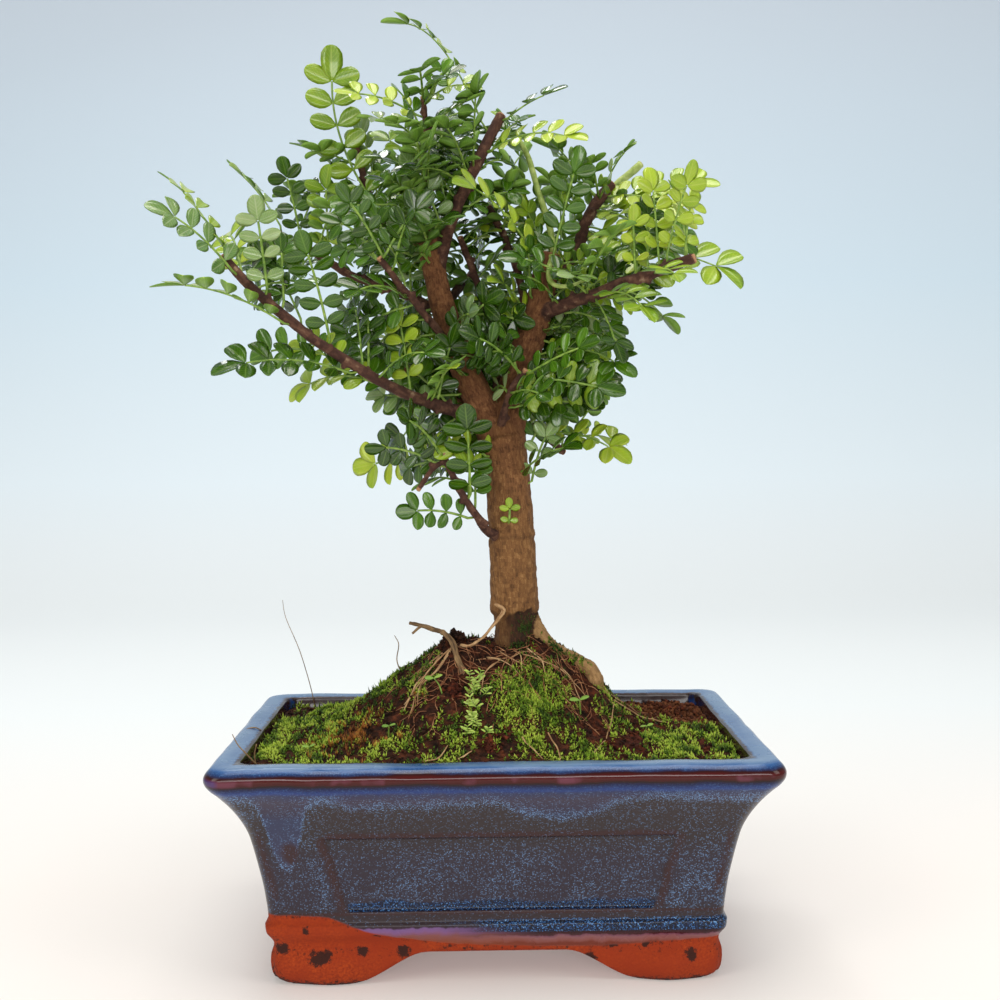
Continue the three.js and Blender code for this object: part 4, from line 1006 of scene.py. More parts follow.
def carve_bark(mesh, samples):
    """Gives each point its place in its own stem's axes, and lifts ridges, collar and ledge."""
    tree = kdtree.KDTree(len(samples))
    for index, sample in enumerate(samples):
        tree.insert(sample[0], index)
    tree.balance()
    places, marks, moves = [], [], []
    for vertex in mesh.vertices:
        point = (vertex.co - ORIGIN) / MM
        nearest = min(tree.find_n(point, 22), key=lambda found: found[2] - samples[found[1]][4])[1]
        centre, side, across, distance, radius, name = samples[nearest]
        away = point - centre
        a, b = away.dot(side), away.dot(across)
        tone = BARK_TONE.get(name, 1.0)
        z = point.z
        coarse = lerp(1, 0.35, tone) if name != "surface_root" else 0.7
        # Ridges about 1.2 mm apart and four times as long, and slow swellings
        ridge = 0.24 * grain(a, b, distance / 4, 1.2) + 0.16 * grain(a + 9, b, distance / 2, 0.7)
        move = coarse * ridge + 0.35 * grain(a, b, distance, 7) * (radius > 3)
        if name == "surface_root":
            move += 0.5 * grain(a, b, distance, 2.6)
        if name == "trunk":
            angle = math.atan2(b, a)
            collar = COLLAR_HEIGHT + 0.9 * math.sin(angle + 1) + 0.3 * grain(a, b, 0, 2)
            ledge = NECK_HEIGHT + 0.8 * math.sin(2 * angle) + 0.5 * grain(a, b, 4, 2)
            move += 0.45 * hump(z, collar, 0.8) - 0.3 * hump(z, collar - 1.8, 0.9)
            move += 0.35 * smooth(ledge, ledge + 0.7, z) * smooth(ledge + 5, ledge + 1, z)
            move -= 0.6 * smooth(ledge, ledge - 0.8, z) * smooth(ledge - 9, ledge - 5, z)
        damp_and_shade = 0.0
        if name == "trunk":
            # Dark neck below the ledge, darker towards the right: damp bark, whose hard upper edge paints
            # the ledge's shadow line; a ring of painted shade lies in the groove under the collar
            below = smooth(99.4, 97.4, z + 2.2 * grain(a, b, z, 2.5) + 1.2 * grain(a, b, z, 1))
            damp_and_shade = max(below * lerp(0.45, 1.3, smooth(-6, 3, point.x - 7 + 5 * grain(a, b, z / 2, 2.5))),
                       0.45 * hump(z, 121, 1.1))
            tone = 0.35 * smooth(118, 150, z)
        root = 0.0
        if name == "surface_root":
            # The root is dark where it leaves the trunk under the ledge: damp bark and painted shade, as at
            # the neck
            root, damp_and_shade = 0.85 * smooth(3, 9, distance), 0.7 * smooth(10, 4, distance)
        places += (a, b, distance)
        marks += (tone, root, damp_and_shade)
        moves.append(vertex.co + vertex.normal * move * MM)
    for vertex, move in zip(mesh.vertices, moves):
        vertex.co = move
    for name, numbers in (("grain", places), ("mark", marks)):
        mesh.attributes.new(name, "FLOAT_VECTOR", "POINT").data.foreach_set("vector", numbers)
    mesh.polygons.foreach_set("use_smooth", [True] * len(mesh.polygons))
    mesh.update()


def make_cut_faces_piece(finish):
    """Pruned ends: a low dome of pale wood inside the bark of each branch."""
    shape = Shape()
    for name, (route, radii) in WOOD.items():
        if name in ("trunk", "surface_root"):
            continue
        end, along = curve_at(route, 1)
        side = along.orthogonal().normalized()
        across = along.cross(side)
        rings, marks = [], []
        sides = 14
        for share, rise in ((0.84, -0.8), (0.82, 0.12), (0.6, 0.25), (0.25, 0.3)):
            radius = radii[-1] * share
            ring = []
            for i in range(sides):
                angle = 2 * math.pi * i / sides
                wave = 1 + 0.08 * math.sin(3 * angle + radii[-1] * 9)
                out = side * math.cos(angle) + across * math.sin(angle)
                ring.append(end + along * rise + out * radius * wave)
            rings.append(ring)
            marks.append([(share * 6, angle, 0)] * sides)
        shape.add_rings(rings, marks)
    return add_piece("cut_branch_ends", shape, [finish])


# Leaves

FACES = {"up": (0, 0, 1), "front": (0, -1, 0.25), "slant": (0, -0.7, 0.7), "back": (0, 0.8, 0.6),
         "rightward": (0.75, -0.15, 0.6), "leftward": (-0.6, -0.15, 0.75)}
# Wood that carries the leaf, share along it, tip, pairs of leaflets, face, colour (pale holds painted
# sheen), arch of the rib
LEAVES = [("low_left", 0.97, (-88, -36, 223), 4, "rightward", "bright", 2),
          ("low_left", 0.93, (-88, -52, 211), 4, "slant", "pale", 3),
          ("low_left", 0.76, (-88, -53, 190), 4, "up", "bright", 4),
          ("low_left", 0.84, (-62, -44, 214), 3, "front", "pale", 2),
          ("low_left", 0.56, (-75, -45, 168), 5, "slant", "deep", 4),
          ("low_left", 0.5, (-61, -8, 161), 4, "slant", "bright", 5),
          ("low_left", 0.34, (-9, -36, 170), 3, "slant", "bright", 3),
          ("low_left", 0.66, (-49, -52, 203), 4, "front", "deep", 3),
          ("high_left", 0.97, (-83, 27, 238), 4, "rightward", "bright", 3),
          ("high_left", 0.86, (-63, 9, 236), 3, "front", "deep", 2),
          ("high_left", 0.7, (-49, 3, 232), 4, "front", "bright", 2),
          ("high_left", 0.8, (-84, 40, 206), 4, "up", "deep", 5),
          ("front_left", 0.97, (-42, -32, 219), 3, "front", "deep", 2),
          ("front_left", 0.7, (-40, -44, 186), 4, "slant", "deep", 4),
          ("upper_left", 0.5, (-46, 13, 272), 4, "front", "bright", (-7, 0, 0)),
          ("upper_left", 0.66, (-63, 32, 246), 4, "up", "deep", 4),
          ("upper_left", 0.5, (-52, 50, 228), 4, "up", "deep", 5),
          ("top_stub", 0.8, (-45, -12, 249), 4, "slant", "bright", 3),
          ("top_stub", 0.93, (-11, -3, 262), 3, "front", "deep", 1),
          ("top_stub", 0.5, (-29, -30, 237), 3, "up", "pale", 3),
          ("top_branch", 0.9, (-30, 8, 275), 5, "rightward", "bright", 11),
          ("top_branch", 0.97, (24, -3, 253), 3, "leftward", "deep", 2),
          ("top_branch", 0.8, (29, -16, 233), 4, "slant", "bright", 5),
          ("top_branch", 0.5, (-25, -32, 221), 4, "up", "deep", 4),
          ("right_leader", 0.96, (-10, -24, 222), 4, "slant", "bright", 5),
          ("right_upper", 0.72, (52, 50, 230), 3, "up", "bright", 3),
          ("right_upper", 0.8, (73, 16, 228), 4, "slant", "bright", 4),
          ("right_leader", 0.95, (27, -10, 235), 4, "front", "deep", 1),
          ("right_upper", 0.6, (77, -9, 195), 5, "slant", "bright", 3),
          ("right_branch", 0.8, (51, -43, 190), 3, "slant", "bright", 3),
          ("right_branch", 0.5, (44, -43, 180), 4, "slant", "bright", 4),
          ("right_branch", 0.6, (58, 10, 181), 4, "up", "deep", 3),
          ("right_branch", 0.42, (36, -37, 207), 4, "slant", "deep", 4),
          ("right_leader", 0.5, (42, -24, 166), 5, "slant", "deep", 5),
          ("right_leader", 0.35, (38, 14, 161), 4, "up", "bright", 4),
          ("low_right", 0.93, (46, 34, 146), 4, "slant", "bright", 4),
          ("low_right", 0.6, (44, 2, 141), 4, "slant", "bright", 4),
          ("trunk", 0.86, (25, -27, 147), 4, "slant", "deep", 3),
          ("trunk", 0.93, (-46, 26, 140), 5, "front", "bright", 3),
          ("side_shoot", 1, (-26, -41, 156), 3, "front", "deep", 3),
          ("side_shoot", 0.6, (-7, -32, 160), 4, "front", "deep", 1),
          ("side_shoot", 0.42, (-28, -24, 129), 4, "front", "deep", 2),
          ("front_right", 0.93, (-8, -36, 178), 3, "front", "deep", 3),
          ("front_right", 0.6, (16, -36, 160), 3, "front", "deep", 2),
          ("left_leader", 0.3, (-21, -31, 173), 3, "slant", "deep", 3),
          ("back_branch", 0.96, (4, 62, 222), 4, "back", "deep", 4),
          ("back_branch", 0.75, (-34, 54, 204), 4, "back", "bright", 4),
          ("back_branch", 0.5, (12, 46, 186), 4, "back", "deep", 4),
          ("back_right", 0.95, (46, 52, 204), 4, "back", "deep", 4),
          ("mid_right", 0.96, (14, 42, 246), 4, "back", "bright", 4)]
SPROUT = ((5, -7.5, 125.6), (5.4, -10.5, 136), 2, "front", "bright", -1)
LEAFLET_RATIO, PAIR_SPACING, LEAFLET_FILL, END_LEAFLET, PAIR_TO_TIP = 0.6, 0.8, 0.95, 1.18, 1.45
BLADE_THICK = 0.2
# Half width of a leaflet along its length: narrow at the stalk, widest past the middle, round at the tip
BLADE_OUTLINE = [(0.0, 0.10), (0.07, 0.36), (0.20, 0.74), (0.38, 0.95), (0.56, 1.0), (0.73, 0.92),
                 (0.87, 0.71), (0.96, 0.43), (1.0, 0.14)]
# Section of a leaflet: share of the half width, and 1 on the upper face or -1 below
BLADE_SECTION = [(-1, 0), (-0.5, 1), (0, 1), (0.5, 1), (1, 0), (0, -1)]
# Numbers of the leaf finishes; the pale one holds painted sheen
TOPS = ("deep", "bright", "pale")
UNDERSIDE, STALK = 3, 4


def add_leaflet(shape, rng, root, direction, sideways, up, length, width, top, tone=0.2):
    """A thin closed blade, cupped, grooved along the midrib, with small rounded teeth."""
    cup, droop, blunt = rng.uniform(0.03, 0.14), rng.uniform(-0.06, 0.2), rng.uniform(0.74, 1.0)
    tone += rng.uniform(-0.1, 0.12)
    roll = Matrix.Rotation(rng.gauss(0, 0.17), 3, direction)
    sideways, up = roll @ sideways, roll @ up
    rings, marks = [], []
    for row, (along, half) in enumerate(BLADE_OUTLINE):
        along = along ** blunt
        reach = half * width / 2 * (1.02 if row % 2 else 0.99)
        centre = root + direction * (along * length) - up * (droop * along * along * length)
        ring, mark = [], []
        for across, face in BLADE_SECTION:
            lift = cup * length * half * abs(across) ** 1.6 - 0.02 * length * half * (across == 0)
            ring.append(centre + sideways * (across * reach) + up * (lift + face * BLADE_THICK / 2))
            mark.append((across, along, tone))
        rings.append(ring)
        marks.append(mark)
    shape.add_rings(rings, marks, (top, top, top, top, UNDERSIDE, UNDERSIDE))


def pairs_along(length, least):
    """Pairs of leaflets stand about 4 mm apart on a short leaf and over 5 mm on a long one."""
    return max(least, min(6, round(PAIR_SPACING * length / lerp(4.1, 5.3, smooth(20, 40, length)) - 0.9)))


class Leaf:
    """A feather leaf: a rib that arches from its base to its tip, and leaflets in pairs along it."""

    def __init__(self, base, tip, pairs, facing, arch):
        self.base, self.tip = Vector(base), Vector(tip)
        bow = Vector(arch) if isinstance(arch, tuple) else Vector((0, 0, arch))
        self.middle = (self.base + self.tip) / 2 + 2 * bow
        self.facing = Vector(facing).normalized()
        self.length = (self.tip - self.base).length
        self.pairs = pairs = pairs_along(self.length, pairs)
        spacing = PAIR_SPACING * self.length / (pairs + 0.9)
        self.lateral = LEAFLET_FILL * spacing / LEAFLET_RATIO
        self.first = 1 - (PAIR_TO_TIP * self.lateral + (pairs - 1) * spacing) / self.length
        self.rib_end = 1 - END_LEAFLET * self.lateral / self.length

    def frame_at(self, t):
        centre = self.base * (1 - t) ** 2 + self.middle * 2 * t * (1 - t) + self.tip * t * t
        along = ((self.middle - self.base) * (1 - t) + (self.tip - self.middle) * t).normalized()
        up = (self.facing - along * self.facing.dot(along)).normalized()
        return centre, along, up, along.cross(up)

    def leaflets(self):
        """Root, direction, sideways, up and size of each leaflet, the end one last."""
        for pair in range(self.pairs):
            share = pair / (self.pairs - 1)
            centre, along, up, across = self.frame_at(lerp(self.first, self.rib_end, share))
            for side in (-1, 1):
                direction = (across * side + along * 0.36 + up * 0.2).normalized()
                sideways = (along - direction * along.dot(direction)).normalized() * side
                yield centre, direction, sideways, up, self.lateral * lerp(0.86, 1, share)
        centre, along, up, across = self.frame_at(self.rib_end)
        yield centre, along, -across, up, END_LEAFLET * self.lateral

    def build(self, shape, rng, top, stalk=0.4, start=None, fullness=0.91):
        tone = rng.uniform(0.0, 0.42)
        for root, direction, sideways, up, size in self.leaflets():
            size *= fullness
            turn = Matrix.Rotation(rng.gauss(0, 0.09), 3, up)
            direction, sideways = turn @ direction, turn @ sideways
            normal = direction.cross(sideways)
            normal = normal if normal.dot(up) > 0 else -normal
            gap = min(0.3, size * 0.08)
            add_leaflet(shape, rng, root + direction * gap, direction, sideways, normal, size - gap,
                        size * LEAFLET_RATIO * rng.uniform(0.96, 1.16), top, tone)
        rings = []
        steps = 4 * self.pairs
        for step in range(steps + 1):
            t = step / steps * self.rib_end
            centre, _, up, across = self.frame_at(t)
            if step == 0 and start is not None:
                centre = start
            wide, thick = stalk * lerp(1.0, 0.66, t), stalk * lerp(0.8, 0.45, t)
            rings.append([centre + across * (wide * math.cos(a)) + up * (thick * math.sin(a))
                          for a in (math.pi / 3 * i for i in range(6))])
        shape.add_rings(rings, None, STALK)


def leaf_base(wood, share, tip):
    """Where a leaf leaves the bark, on the side that looks to its tip, and a point under the bark."""
    route, radii = WOOD[wood]
    centre, along = curve_at(route, share)
    outward = Vector(tip) - centre
    outward = (outward - along * outward.dot(along)).normalized()
    radius = radius_at(radii, share)
    return centre + outward * (radius + 0.5), centre + outward * radius * 0.6


def make_leaf_pieces(finishes):
    rng = random.Random(29)
    nodes = sorted(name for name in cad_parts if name.startswith("leaf_"))
    grown = []
    for index, (row, replaced) in enumerate(zip(LEAVES, nodes), 1):
        wood, share, tip, pairs, face, top, arch = row
        base, start = leaf_base(wood, share, tip)
        leaf = Leaf(base, tip, pairs, FACES[face], arch)
        shape = Shape()
        leaf.build(shape, rng, TOPS.index(top), start=start)
        add_piece(f"feather_leaf_{index:02d}", shape, finishes, [replaced])
        grown.append(leaf)
    base, tip, pairs, face, top, arch = SPROUT
    shape = Shape()
    Leaf(base, tip, pairs, FACES[face], arch).build(shape, rng, TOPS.index(top), stalk=0.4, fullness=0.66,
                                                    start=Vector(base) + Vector((-0.2, 1.2, -0.4)))
    add_piece("sprout_on_trunk", shape, finishes, ["trunk_sprout"])
    return grown


# Big leaves of this year at the right, in front of the others
YOUNG_LEAVES = [("right_upper", 0.78, (54, -4, 199.5), 4, "slant", "bright", 5),
                ("right_upper", 0.66, (52, -12, 191), 3, "front", "bright", 4),
                ("right_upper", 0.9, (62, 6, 214), 4, "slant", "bright", 4),
                ("right_upper", 0.85, (44, 2, 238), 3, "slant", "bright", 3)]
# Outline of the crown seen from the front, x and z, and how many leaves each stem adds inside it
CROWN = [(-56, 256), (-42, 264), (-36, 249), (-17, 252), (-5, 252), (17, 249), (21, 240), (45, 234),
         (64, 226), (68, 203), (57, 191), (46, 171), (36, 159), (22, 150), (8, 152), (-6, 143), (-19, 134),
         (-28, 134), (-39, 146), (-42, 164), (-60, 165), (-78, 175), (-86, 197), (-84, 216), (-70, 230),
         (-62, 234)]
MORE_LEAVES = {"left_leader": 33, "right_leader": 27, "low_left": 19, "high_left": 20, "front_left": 11,
               "upper_left": 20, "stub_left": 8, "top_stub": 17, "top_branch": 22, "mid_left": 16,
               "mid_right": 16, "right_branch": 17, "right_upper": 20, "front_right": 9, "low_right": 9,
               "side_shoot": 5, "back_branch": 12, "back_right": 12, "trunk": 5}
CROWN_MIDDLE, CROWN_REACH = Vector((-4, 3, 203)), Vector((84, 50, 72))
# Room that a leaflet wants at first, and after so many tries, and the last try
ROOM, LESS_ROOM, CROWDED_TRIES, LAST_TRY = 3.0, 2.3, 500, 1200


def in_crown(point):
    away = point - CROWN_MIDDLE
    if sum((away[i] / CROWN_REACH[i]) ** 2 for i in range(3)) > 1:
        return False
    inside = False
    for (x0, z0), (x1, z1) in zip(CROWN, CROWN[1:] + CROWN[:1]):
        if (z0 > point.z) != (z1 > point.z) and point.x < x0 + (x1 - x0) * (point.z - z0) / (z1 - z0):
            inside = not inside
    return inside


# Stretches of wood that stay in view from the front: stem, first and last share along it, and
# how near to them a leaflet in front may show
IN_VIEW = [("top_branch", 0.45, 1.0), ("low_left", 0.15, 0.95), ("right_branch", 0.2, 1.0),
           ("right_upper", 0.6, 1.0), ("high_left", 0.35, 0.8), ("left_leader", 0.0, 0.3),
           ("left_leader", 0.55, 0.72), ("right_leader", 0.0, 0.35), ("right_leader", 0.5, 0.8),
           ("front_left", 0.3, 1.0), ("mid_left", 0.75, 0.95), ("upper_left", 0.75, 1.0),
           ("green_shoot_tall", 0.2, 1.0), ("green_shoot_right", 0.3, 1.0)]
VIEW_MARGIN = 4.2
# Where the photo was taken from
CAMERA_PLACE = Vector((-2.5, -378.3, 149.0))


def seen_at(point):
    """Where a point shows against the plane y = 0 as the viewer sees it: x and z there."""
    across, depth, height = point - CAMERA_PLACE
    reach = -CAMERA_PLACE.y / depth
    return Vector((CAMERA_PLACE.x + across * reach, CAMERA_PLACE.z + height * reach, 0))


def make_more_leaves(finishes, grown):
    """Leaves between the ones above, on the same stems, where the crown still has room."""
    rng = random.Random(83)
    kept = []
    for wood, first, last in IN_VIEW:
        route = {**WOOD, **GREEN_SHOOTS}[wood][0]
        steps = max(2, round(route_length(route) * (last - first) / 2))
        kept += [curve_at(route, lerp(first, last, step / steps))[0] for step in range(steps + 1)]
    view = kdtree.KDTree(len(kept))
    for index, point in enumerate(kept):
        view.insert(seen_at(point), index)
    view.balance()
    young_shape = Shape()
    for wood, share, tip, pairs, face, top, arch in YOUNG_LEAVES:
        base, inner = leaf_base(wood, share, tip)
        grown.append(Leaf(base, tip, pairs, FACES[face], arch))
        grown[-1].build(young_shape, rng, TOPS.index(top), start=inner)
    add_piece("more_leaves_young", young_shape, finishes)
    taken = [root + direction * size * 0.5
             for leaf in grown for root, direction, _, _, size in leaf.leaflets()]
    for wood, wanted in MORE_LEAVES.items():
        shape, made, tries = Shape(), 0, 0
        while made < wanted and tries < LAST_TRY:
            tries += 1
            share = rng.uniform(0.72, 0.97) if wood == "trunk" else rng.uniform(0.12, 1.0)
            start, along = curve_at(WOOD[wood][0], share)
            out = start - CROWN_MIDDLE
            out = out.normalized() if out.length > 1 else Vector((0, -1, 0))
            spread = Vector([rng.gauss(0, 1) for _ in range(3)]).normalized()
            direction = (out * 0.55 + spread * 0.9 + Vector((0, 0, 0.3))).normalized()
            direction = (direction - along * direction.dot(along) * 0.5).normalized()
            length = rng.uniform(19, 34)
            tip = start + direction * length
            if not in_crown(tip) or start.z < 128:
                continue
            base, inner = leaf_base(wood, share, tip)
            facing = Vector((0, -0.75 * smooth(28, 2, start.y), 0.6)) + out * 0.45
            facing += Vector([rng.gauss(0, 0.3) for _ in range(3)])
            if abs(facing.normalized().dot(direction)) > 0.85:
                continue
            leaf = Leaf(base, tip, 3, facing, rng.uniform(1, 5))
            places = [root + way * size * 0.5 for root, way, _, _, size in leaf.leaflets()]
            room = ROOM if tries < CROWDED_TRIES else LESS_ROOM
            crowded = sum(any((place - other).length < room for other in taken) for place in places)
            hiding = sum(
                any(kept[index].y > place.y
                    for _, index, _ in view.find_range(seen_at(place), VIEW_MARGIN))
                for place in places)
            if crowded > 0.35 * len(places) or hiding > 1:
                continue
            young = (0.13 + 0.5 * smooth(10, 40, tip.x) * smooth(165, 190, tip.z)
                     + 0.35 * (tip.x < -25 and tip.z > 220))
            # A few leaves get the pale finish, with its painted sheen
            top = "bright" if rng.random() < young else "pale" if rng.random() < 0.16 else "deep"
            leaf.build(shape, rng, TOPS.index(top), start=inner)
            taken += places
            made += 1
        if made:
            add_piece("more_leaves_" + wood, shape, finishes)


# Twigs, rootlets and small plants

ROOTLETS = [[(7.4, -36.9), (9.4, -40.1), (12.7, -43.2)], [(14.7, -34.1), (16.6, -37.7), (17.6, -42.6)],
            [(35.3, -11), (33.6, -19.3), (32, -26), (30.4, -31), (26, -37.5), (22, -42)],
            [(-18.9, -42.8), (-15, -39.9), (-12.9, -37.9)], [(-10.1, -42), (-6.3, -41)],
            [(1.9, -10.2), (7.6, -15.6), (13.4, -16.2)], [(-23.8, -16.8), (-21.8, -10), (-18.9, -7.8)],
            [(-26, -20), (-24, -16), (-20, -11), (-16, -9)], [(-24, -22), (-22.5, -17), (-21, -13)],
            [(33, -2), (40, 8), (46, 14)], [(36, -4), (46, 2), (54, 6)],
            [(8, -13), (14, -15), (21, -14), (27, -17)],
            [(-13, -9), (-17, -10), (-20, -12), (-23, -16), (-26, -18)],
            [(-15, -9), (-19, -8.5), (-22, -9), (-24, -12)], [(-18, -9), (-21, -7), (-25, -6.5)],
            [(-20, -12), (-22, -16), (-22, -21)], [(-2, -12), (4, -13), (9, -12.5), (13, -11)],
            [(6, -10), (8, -14), (8, -19)], [(10, -11), (14, -15), (15, -19)],
            [(-3, -12), (3, -15), (8, -20)], [(18, -12), (23, -15), (25, -20)],
            [(2, -14), (-2, -19), (-4, -25)]]
FINE_ROOTLETS = 210


def add_rootlet(shape, rng, route, radius, lift=0.25):
    points = [(x, y, rough_soil(x, y) + lift + rng.uniform(0, 0.9)) for x, y in route]
    add_stem(shape, (points, [radius, radius * 0.9, radius * 0.5]), 0.7, 5, rng, knot=0.3, bend=0.7)


def make_rootlets(pale, red):
    rng = random.Random(61)
    shape = Shape()
    for route in ROOTLETS:
        add_rootlet(shape, rng, route, rng.uniform(0.15, 0.27), 0.35)
    add_piece("rootlets_pale", shape, [pale])
    fine = Shape()
    for count in range(FINE_ROOTLETS):
        turn, away = rng.uniform(0, 2 * math.pi), rng.uniform(6, 33)
        x, y = 6 + away * 1.1 * math.cos(turn), -2 + away * math.sin(turn)
        if count % 3:
            x, y = rng.uniform(-24, 34), rng.uniform(-27, -7)
        heading, route = rng.uniform(0, 2 * math.pi), []
        for _ in range(rng.choice((3, 4, 5))):
            route.append((x, y))
            heading += rng.gauss(0, 0.5)
            x, y = x + 2.3 * math.cos(heading), y + 2.3 * math.sin(heading)
        if all(abs(px) < 66 and abs(py) < 41 for px, py in route):
            add_rootlet(fine, rng, route, rng.uniform(0.08, 0.15), 0.3)
    add_piece("rootlets_fine", fine, [red])


# The long hair at the back left and three straws, each with the step of its rings
STRAWS = [
    ([(-60, 43, 60.5), (-61.5, 43, 68), (-65, 43.5, 80), (-69.5, 44, 91), (-70.5, 44, 97)],
     [0.16, 0.15, 0.13, 0.1, 0.08], 1.5),
    ([(-64.6, -38, 61.5), (-67.5, -38.3, 64.8), (-70, -38.2, 67.5), (-71.6, -38, 70.5)],
     [0.2, 0.2, 0.17, 0.1], 1.0),
    ([(-66, -34, 60.5), (-66.3, -34.5, 64), (-65.6, -35, 67)], [0.2, 0.2, 0.15], 1.0),
    ([(-28, 6, 78), (-29.5, 4, 83), (-28.8, 3, 88), (-30, 2, 91)], [0.18, 0.18, 0.15, 0.1], 1.0),
]
GLAZE_CRACK = ([(-76.2, -4, 63.2), (-74.2, -2.6, 64.05), (-72, -2.4, 64.15), (-69.8, -4.2, 63.9)],
               [0.16, 0.2, 0.22, 0.14])


def make_dry_bits(dead, root, stem_green, cut):
    rng = random.Random(13)
    twig = Shape()
    add_stem(twig, DEAD_TWIG, 0.6, 12, rng, knot=0.55, bend=0.8)
    add_stem(twig, DEAD_TWIG_FORK, 0.5, 10, rng, knot=0.3, bend=0.2)
    add_piece("dead_twig_forked", twig, [dead], ["dead_twig"])
    loose = Shape()
    add_stem(loose, LOOSE_ROOT, 0.5, 10, rng, knot=0.55, bend=0.9)
    add_piece("loose_root_curled", loose, [root], ["loose_root"])
    for name, stem in GREEN_SHOOTS.items():
        shoot = Shape()
        add_stem(shoot, stem, 0.8, 12, rng, knot=0.12, bend=0.3)
        end, along = curve_at(stem[0], 1)
        add_stem(shoot, ([end - along * 0.3, end + along * 0.1, end + along * 0.25],
                         [stem[1][-1] * 0.95, stem[1][-1] * 0.85, stem[1][-1] * 0.5]),
                 0.2, 12, rng, finish=1)
        add_piece(name + "_cut", shoot, [stem_green, cut], [name])
    curled = Shape()
    add_stem(curled, CURLED_SHOOT, 0.7, 10, rng, knot=0.1, bend=0.2)
    add_piece("curled_young_shoot", curled, [stem_green])
    hair = Shape()
    for route, radii, step in STRAWS:
        add_stem(hair, (route, radii), step, 5, rng)
    add_piece("straws_and_hair", hair, [dead])
    crack = Shape()
    add_stem(crack, GLAZE_CRACK, 0.6, 6, rng, bend=0.3)
    add_piece("firing_crack_in_glaze", crack, [dead])


# Foot, place of the leaves, height and leaf length of the two-leaved seedlings
SEEDLINGS = [((24.6, -22.5), (24.2, -23.6), 4.4, 3.0), ((-14.8, -20.6), (-17.2, -21.2), 4.6, 2.7),
             ((44, -14), (44.5, -15), 3.4, 2.0), ((-52, -30), (-51.7, -31), 3.2, 2.0),
             ((-30, -26), (-29.8, -27), 3.4, 2.0)]
# Feet of the weeds, x and y, and how tall they stand
WEEDS = [(-6.8, -19.6, 3.4), (-4.6, -20.4, 4.2), (-7.6, -22.2, 3.0), (-5.4, -23.2, 4.4),
         (-3.4, -24.6, 2.6), (-6.6, -26.4, 3.2), (-4.8, -27.6, 2.4), (-7.4, -30, 2.8), (-5.8, -31.4, 4.2),
         (-4.4, -32.6, 3.0), (-7.8, -33.8, 2.6), (-2.8, -34.4, 2.0)]


def add_weed(shape, rng, x, y, height):
    """A thin leaning stem with narrow leaves, a pair at each joint."""
    foot = Vector((x, y, rough_soil(x, y)))
    tip = foot + Vector((rng.gauss(0, 0.9), rng.gauss(-0.9, 0.5), height))
    middle = (foot + tip) / 2 + Vector((rng.gauss(0, 0.5), 0, 0))
    add_stem(shape, ([foot, middle, tip], [0.15, 0.12, 0.09]), 0.7, 5, rng, finish=STALK)
    for joint in range(1, 5):
        centre, _ = curve_at([foot, middle, tip], joint / 4)
        for side in (-1, 1):
            direction = Vector((side * rng.uniform(0.5, 1), rng.uniform(-0.9, 0.2), rng.uniform(0, 0.9)))
            direction.normalize()
            sideways = direction.cross(Vector((0, -0.6, 0.8))).normalized()
            size = rng.uniform(1.4, 2.6) * (1.15 - 0.1 * joint)
            add_leaflet(shape, rng, centre, direction, sideways, sideways.cross(direction),
                        size, size * 0.36, 0, 0.45)


def make_small_plants(weed, stalk):
    rng = random.Random(7)
    plants = Shape()
    for x, y, height in WEEDS:
        add_weed(plants, rng, x, y, height)
    for (x, y), (tx, ty), height, size in SEEDLINGS:
        z = rough_soil(x, y)
        top = Vector((tx, ty, z + height))
        add_stem(plants, ([(x, y, z - 0.5), (lerp(x, tx, 0.4), lerp(y, ty, 0.3), z + height * 0.55), top],
                          [0.24, 0.2, 0.18]), 0.7, 6, rng, finish=STALK)
        for side in (-1, 1):
            direction = Vector((side * 0.9, -0.25, 0.45 if side > 0 else 0.1)).normalized()
            sideways = Vector((0.1, 0.8, 0.6))
            sideways = (sideways - direction * sideways.dot(direction)).normalized()
            add_leaflet(plants, rng, top, direction, sideways, direction.cross(sideways) * side,
                        size, size * 0.5, 0, 0.12)
    add_piece("seedlings_in_moss", plants, [weed, weed, weed, weed, stalk])


# Ground, light and camera


def make_sweep():
    """A pale studio sweep: flat under the bowl, and curved up into a light blue background."""
    material, add, shader, place = new_finish("matt_paper_sweep", Roughness=0.9, Specular_IOR_Level=0.1)
    _, depth, height = add("SeparateXYZ", [place]).outputs
    share = add("MapRange", [height, 0.0, 900.0])
    tint = add("ValToRGB", [share], stops=[
        (0.0, "#D1D6D8"), (0.05, "#D2D9DD"), (0.12, "#D1DCE3"), (0.4, "#C4D5E1"), (1.0, "#BBC4D0")])
    behind = add("MapRange", [depth, 40.0, 320.0])
    tint = add("Mix", [behind, "#D4D0CD", tint], data_type="RGBA")
    feed(shader, {"Base Color": tint, "Emission Color": tint, "Emission Strength": SWEEP_GLOW})
    outline = [(-1.6, 0.0), (0.7, 0.0)]
    turns = [math.pi / 24 * i for i in range(1, 13)]
    outline += [(0.7 + 0.6 * math.sin(turn), 0.6 - 0.6 * math.cos(turn)) for turn in turns]
    outline += [(1.3, 2.4)]
    mesh = bpy.data.meshes.new("sweep")
    points = [(x, y, z) for y, z in outline for x in (-2.4, 2.4)]
    faces = [(2 * i, 2 * i + 1, 2 * i + 3, 2 * i + 2) for i in range(len(outline) - 1)]
    mesh.from_pydata(points, [], faces)
    mesh.polygons.foreach_set("use_smooth", [True] * len(mesh.polygons))
    mesh.materials.append(material)
    sweep = put_object("sweep", mesh)


SWEEP_GLOW = 0.3
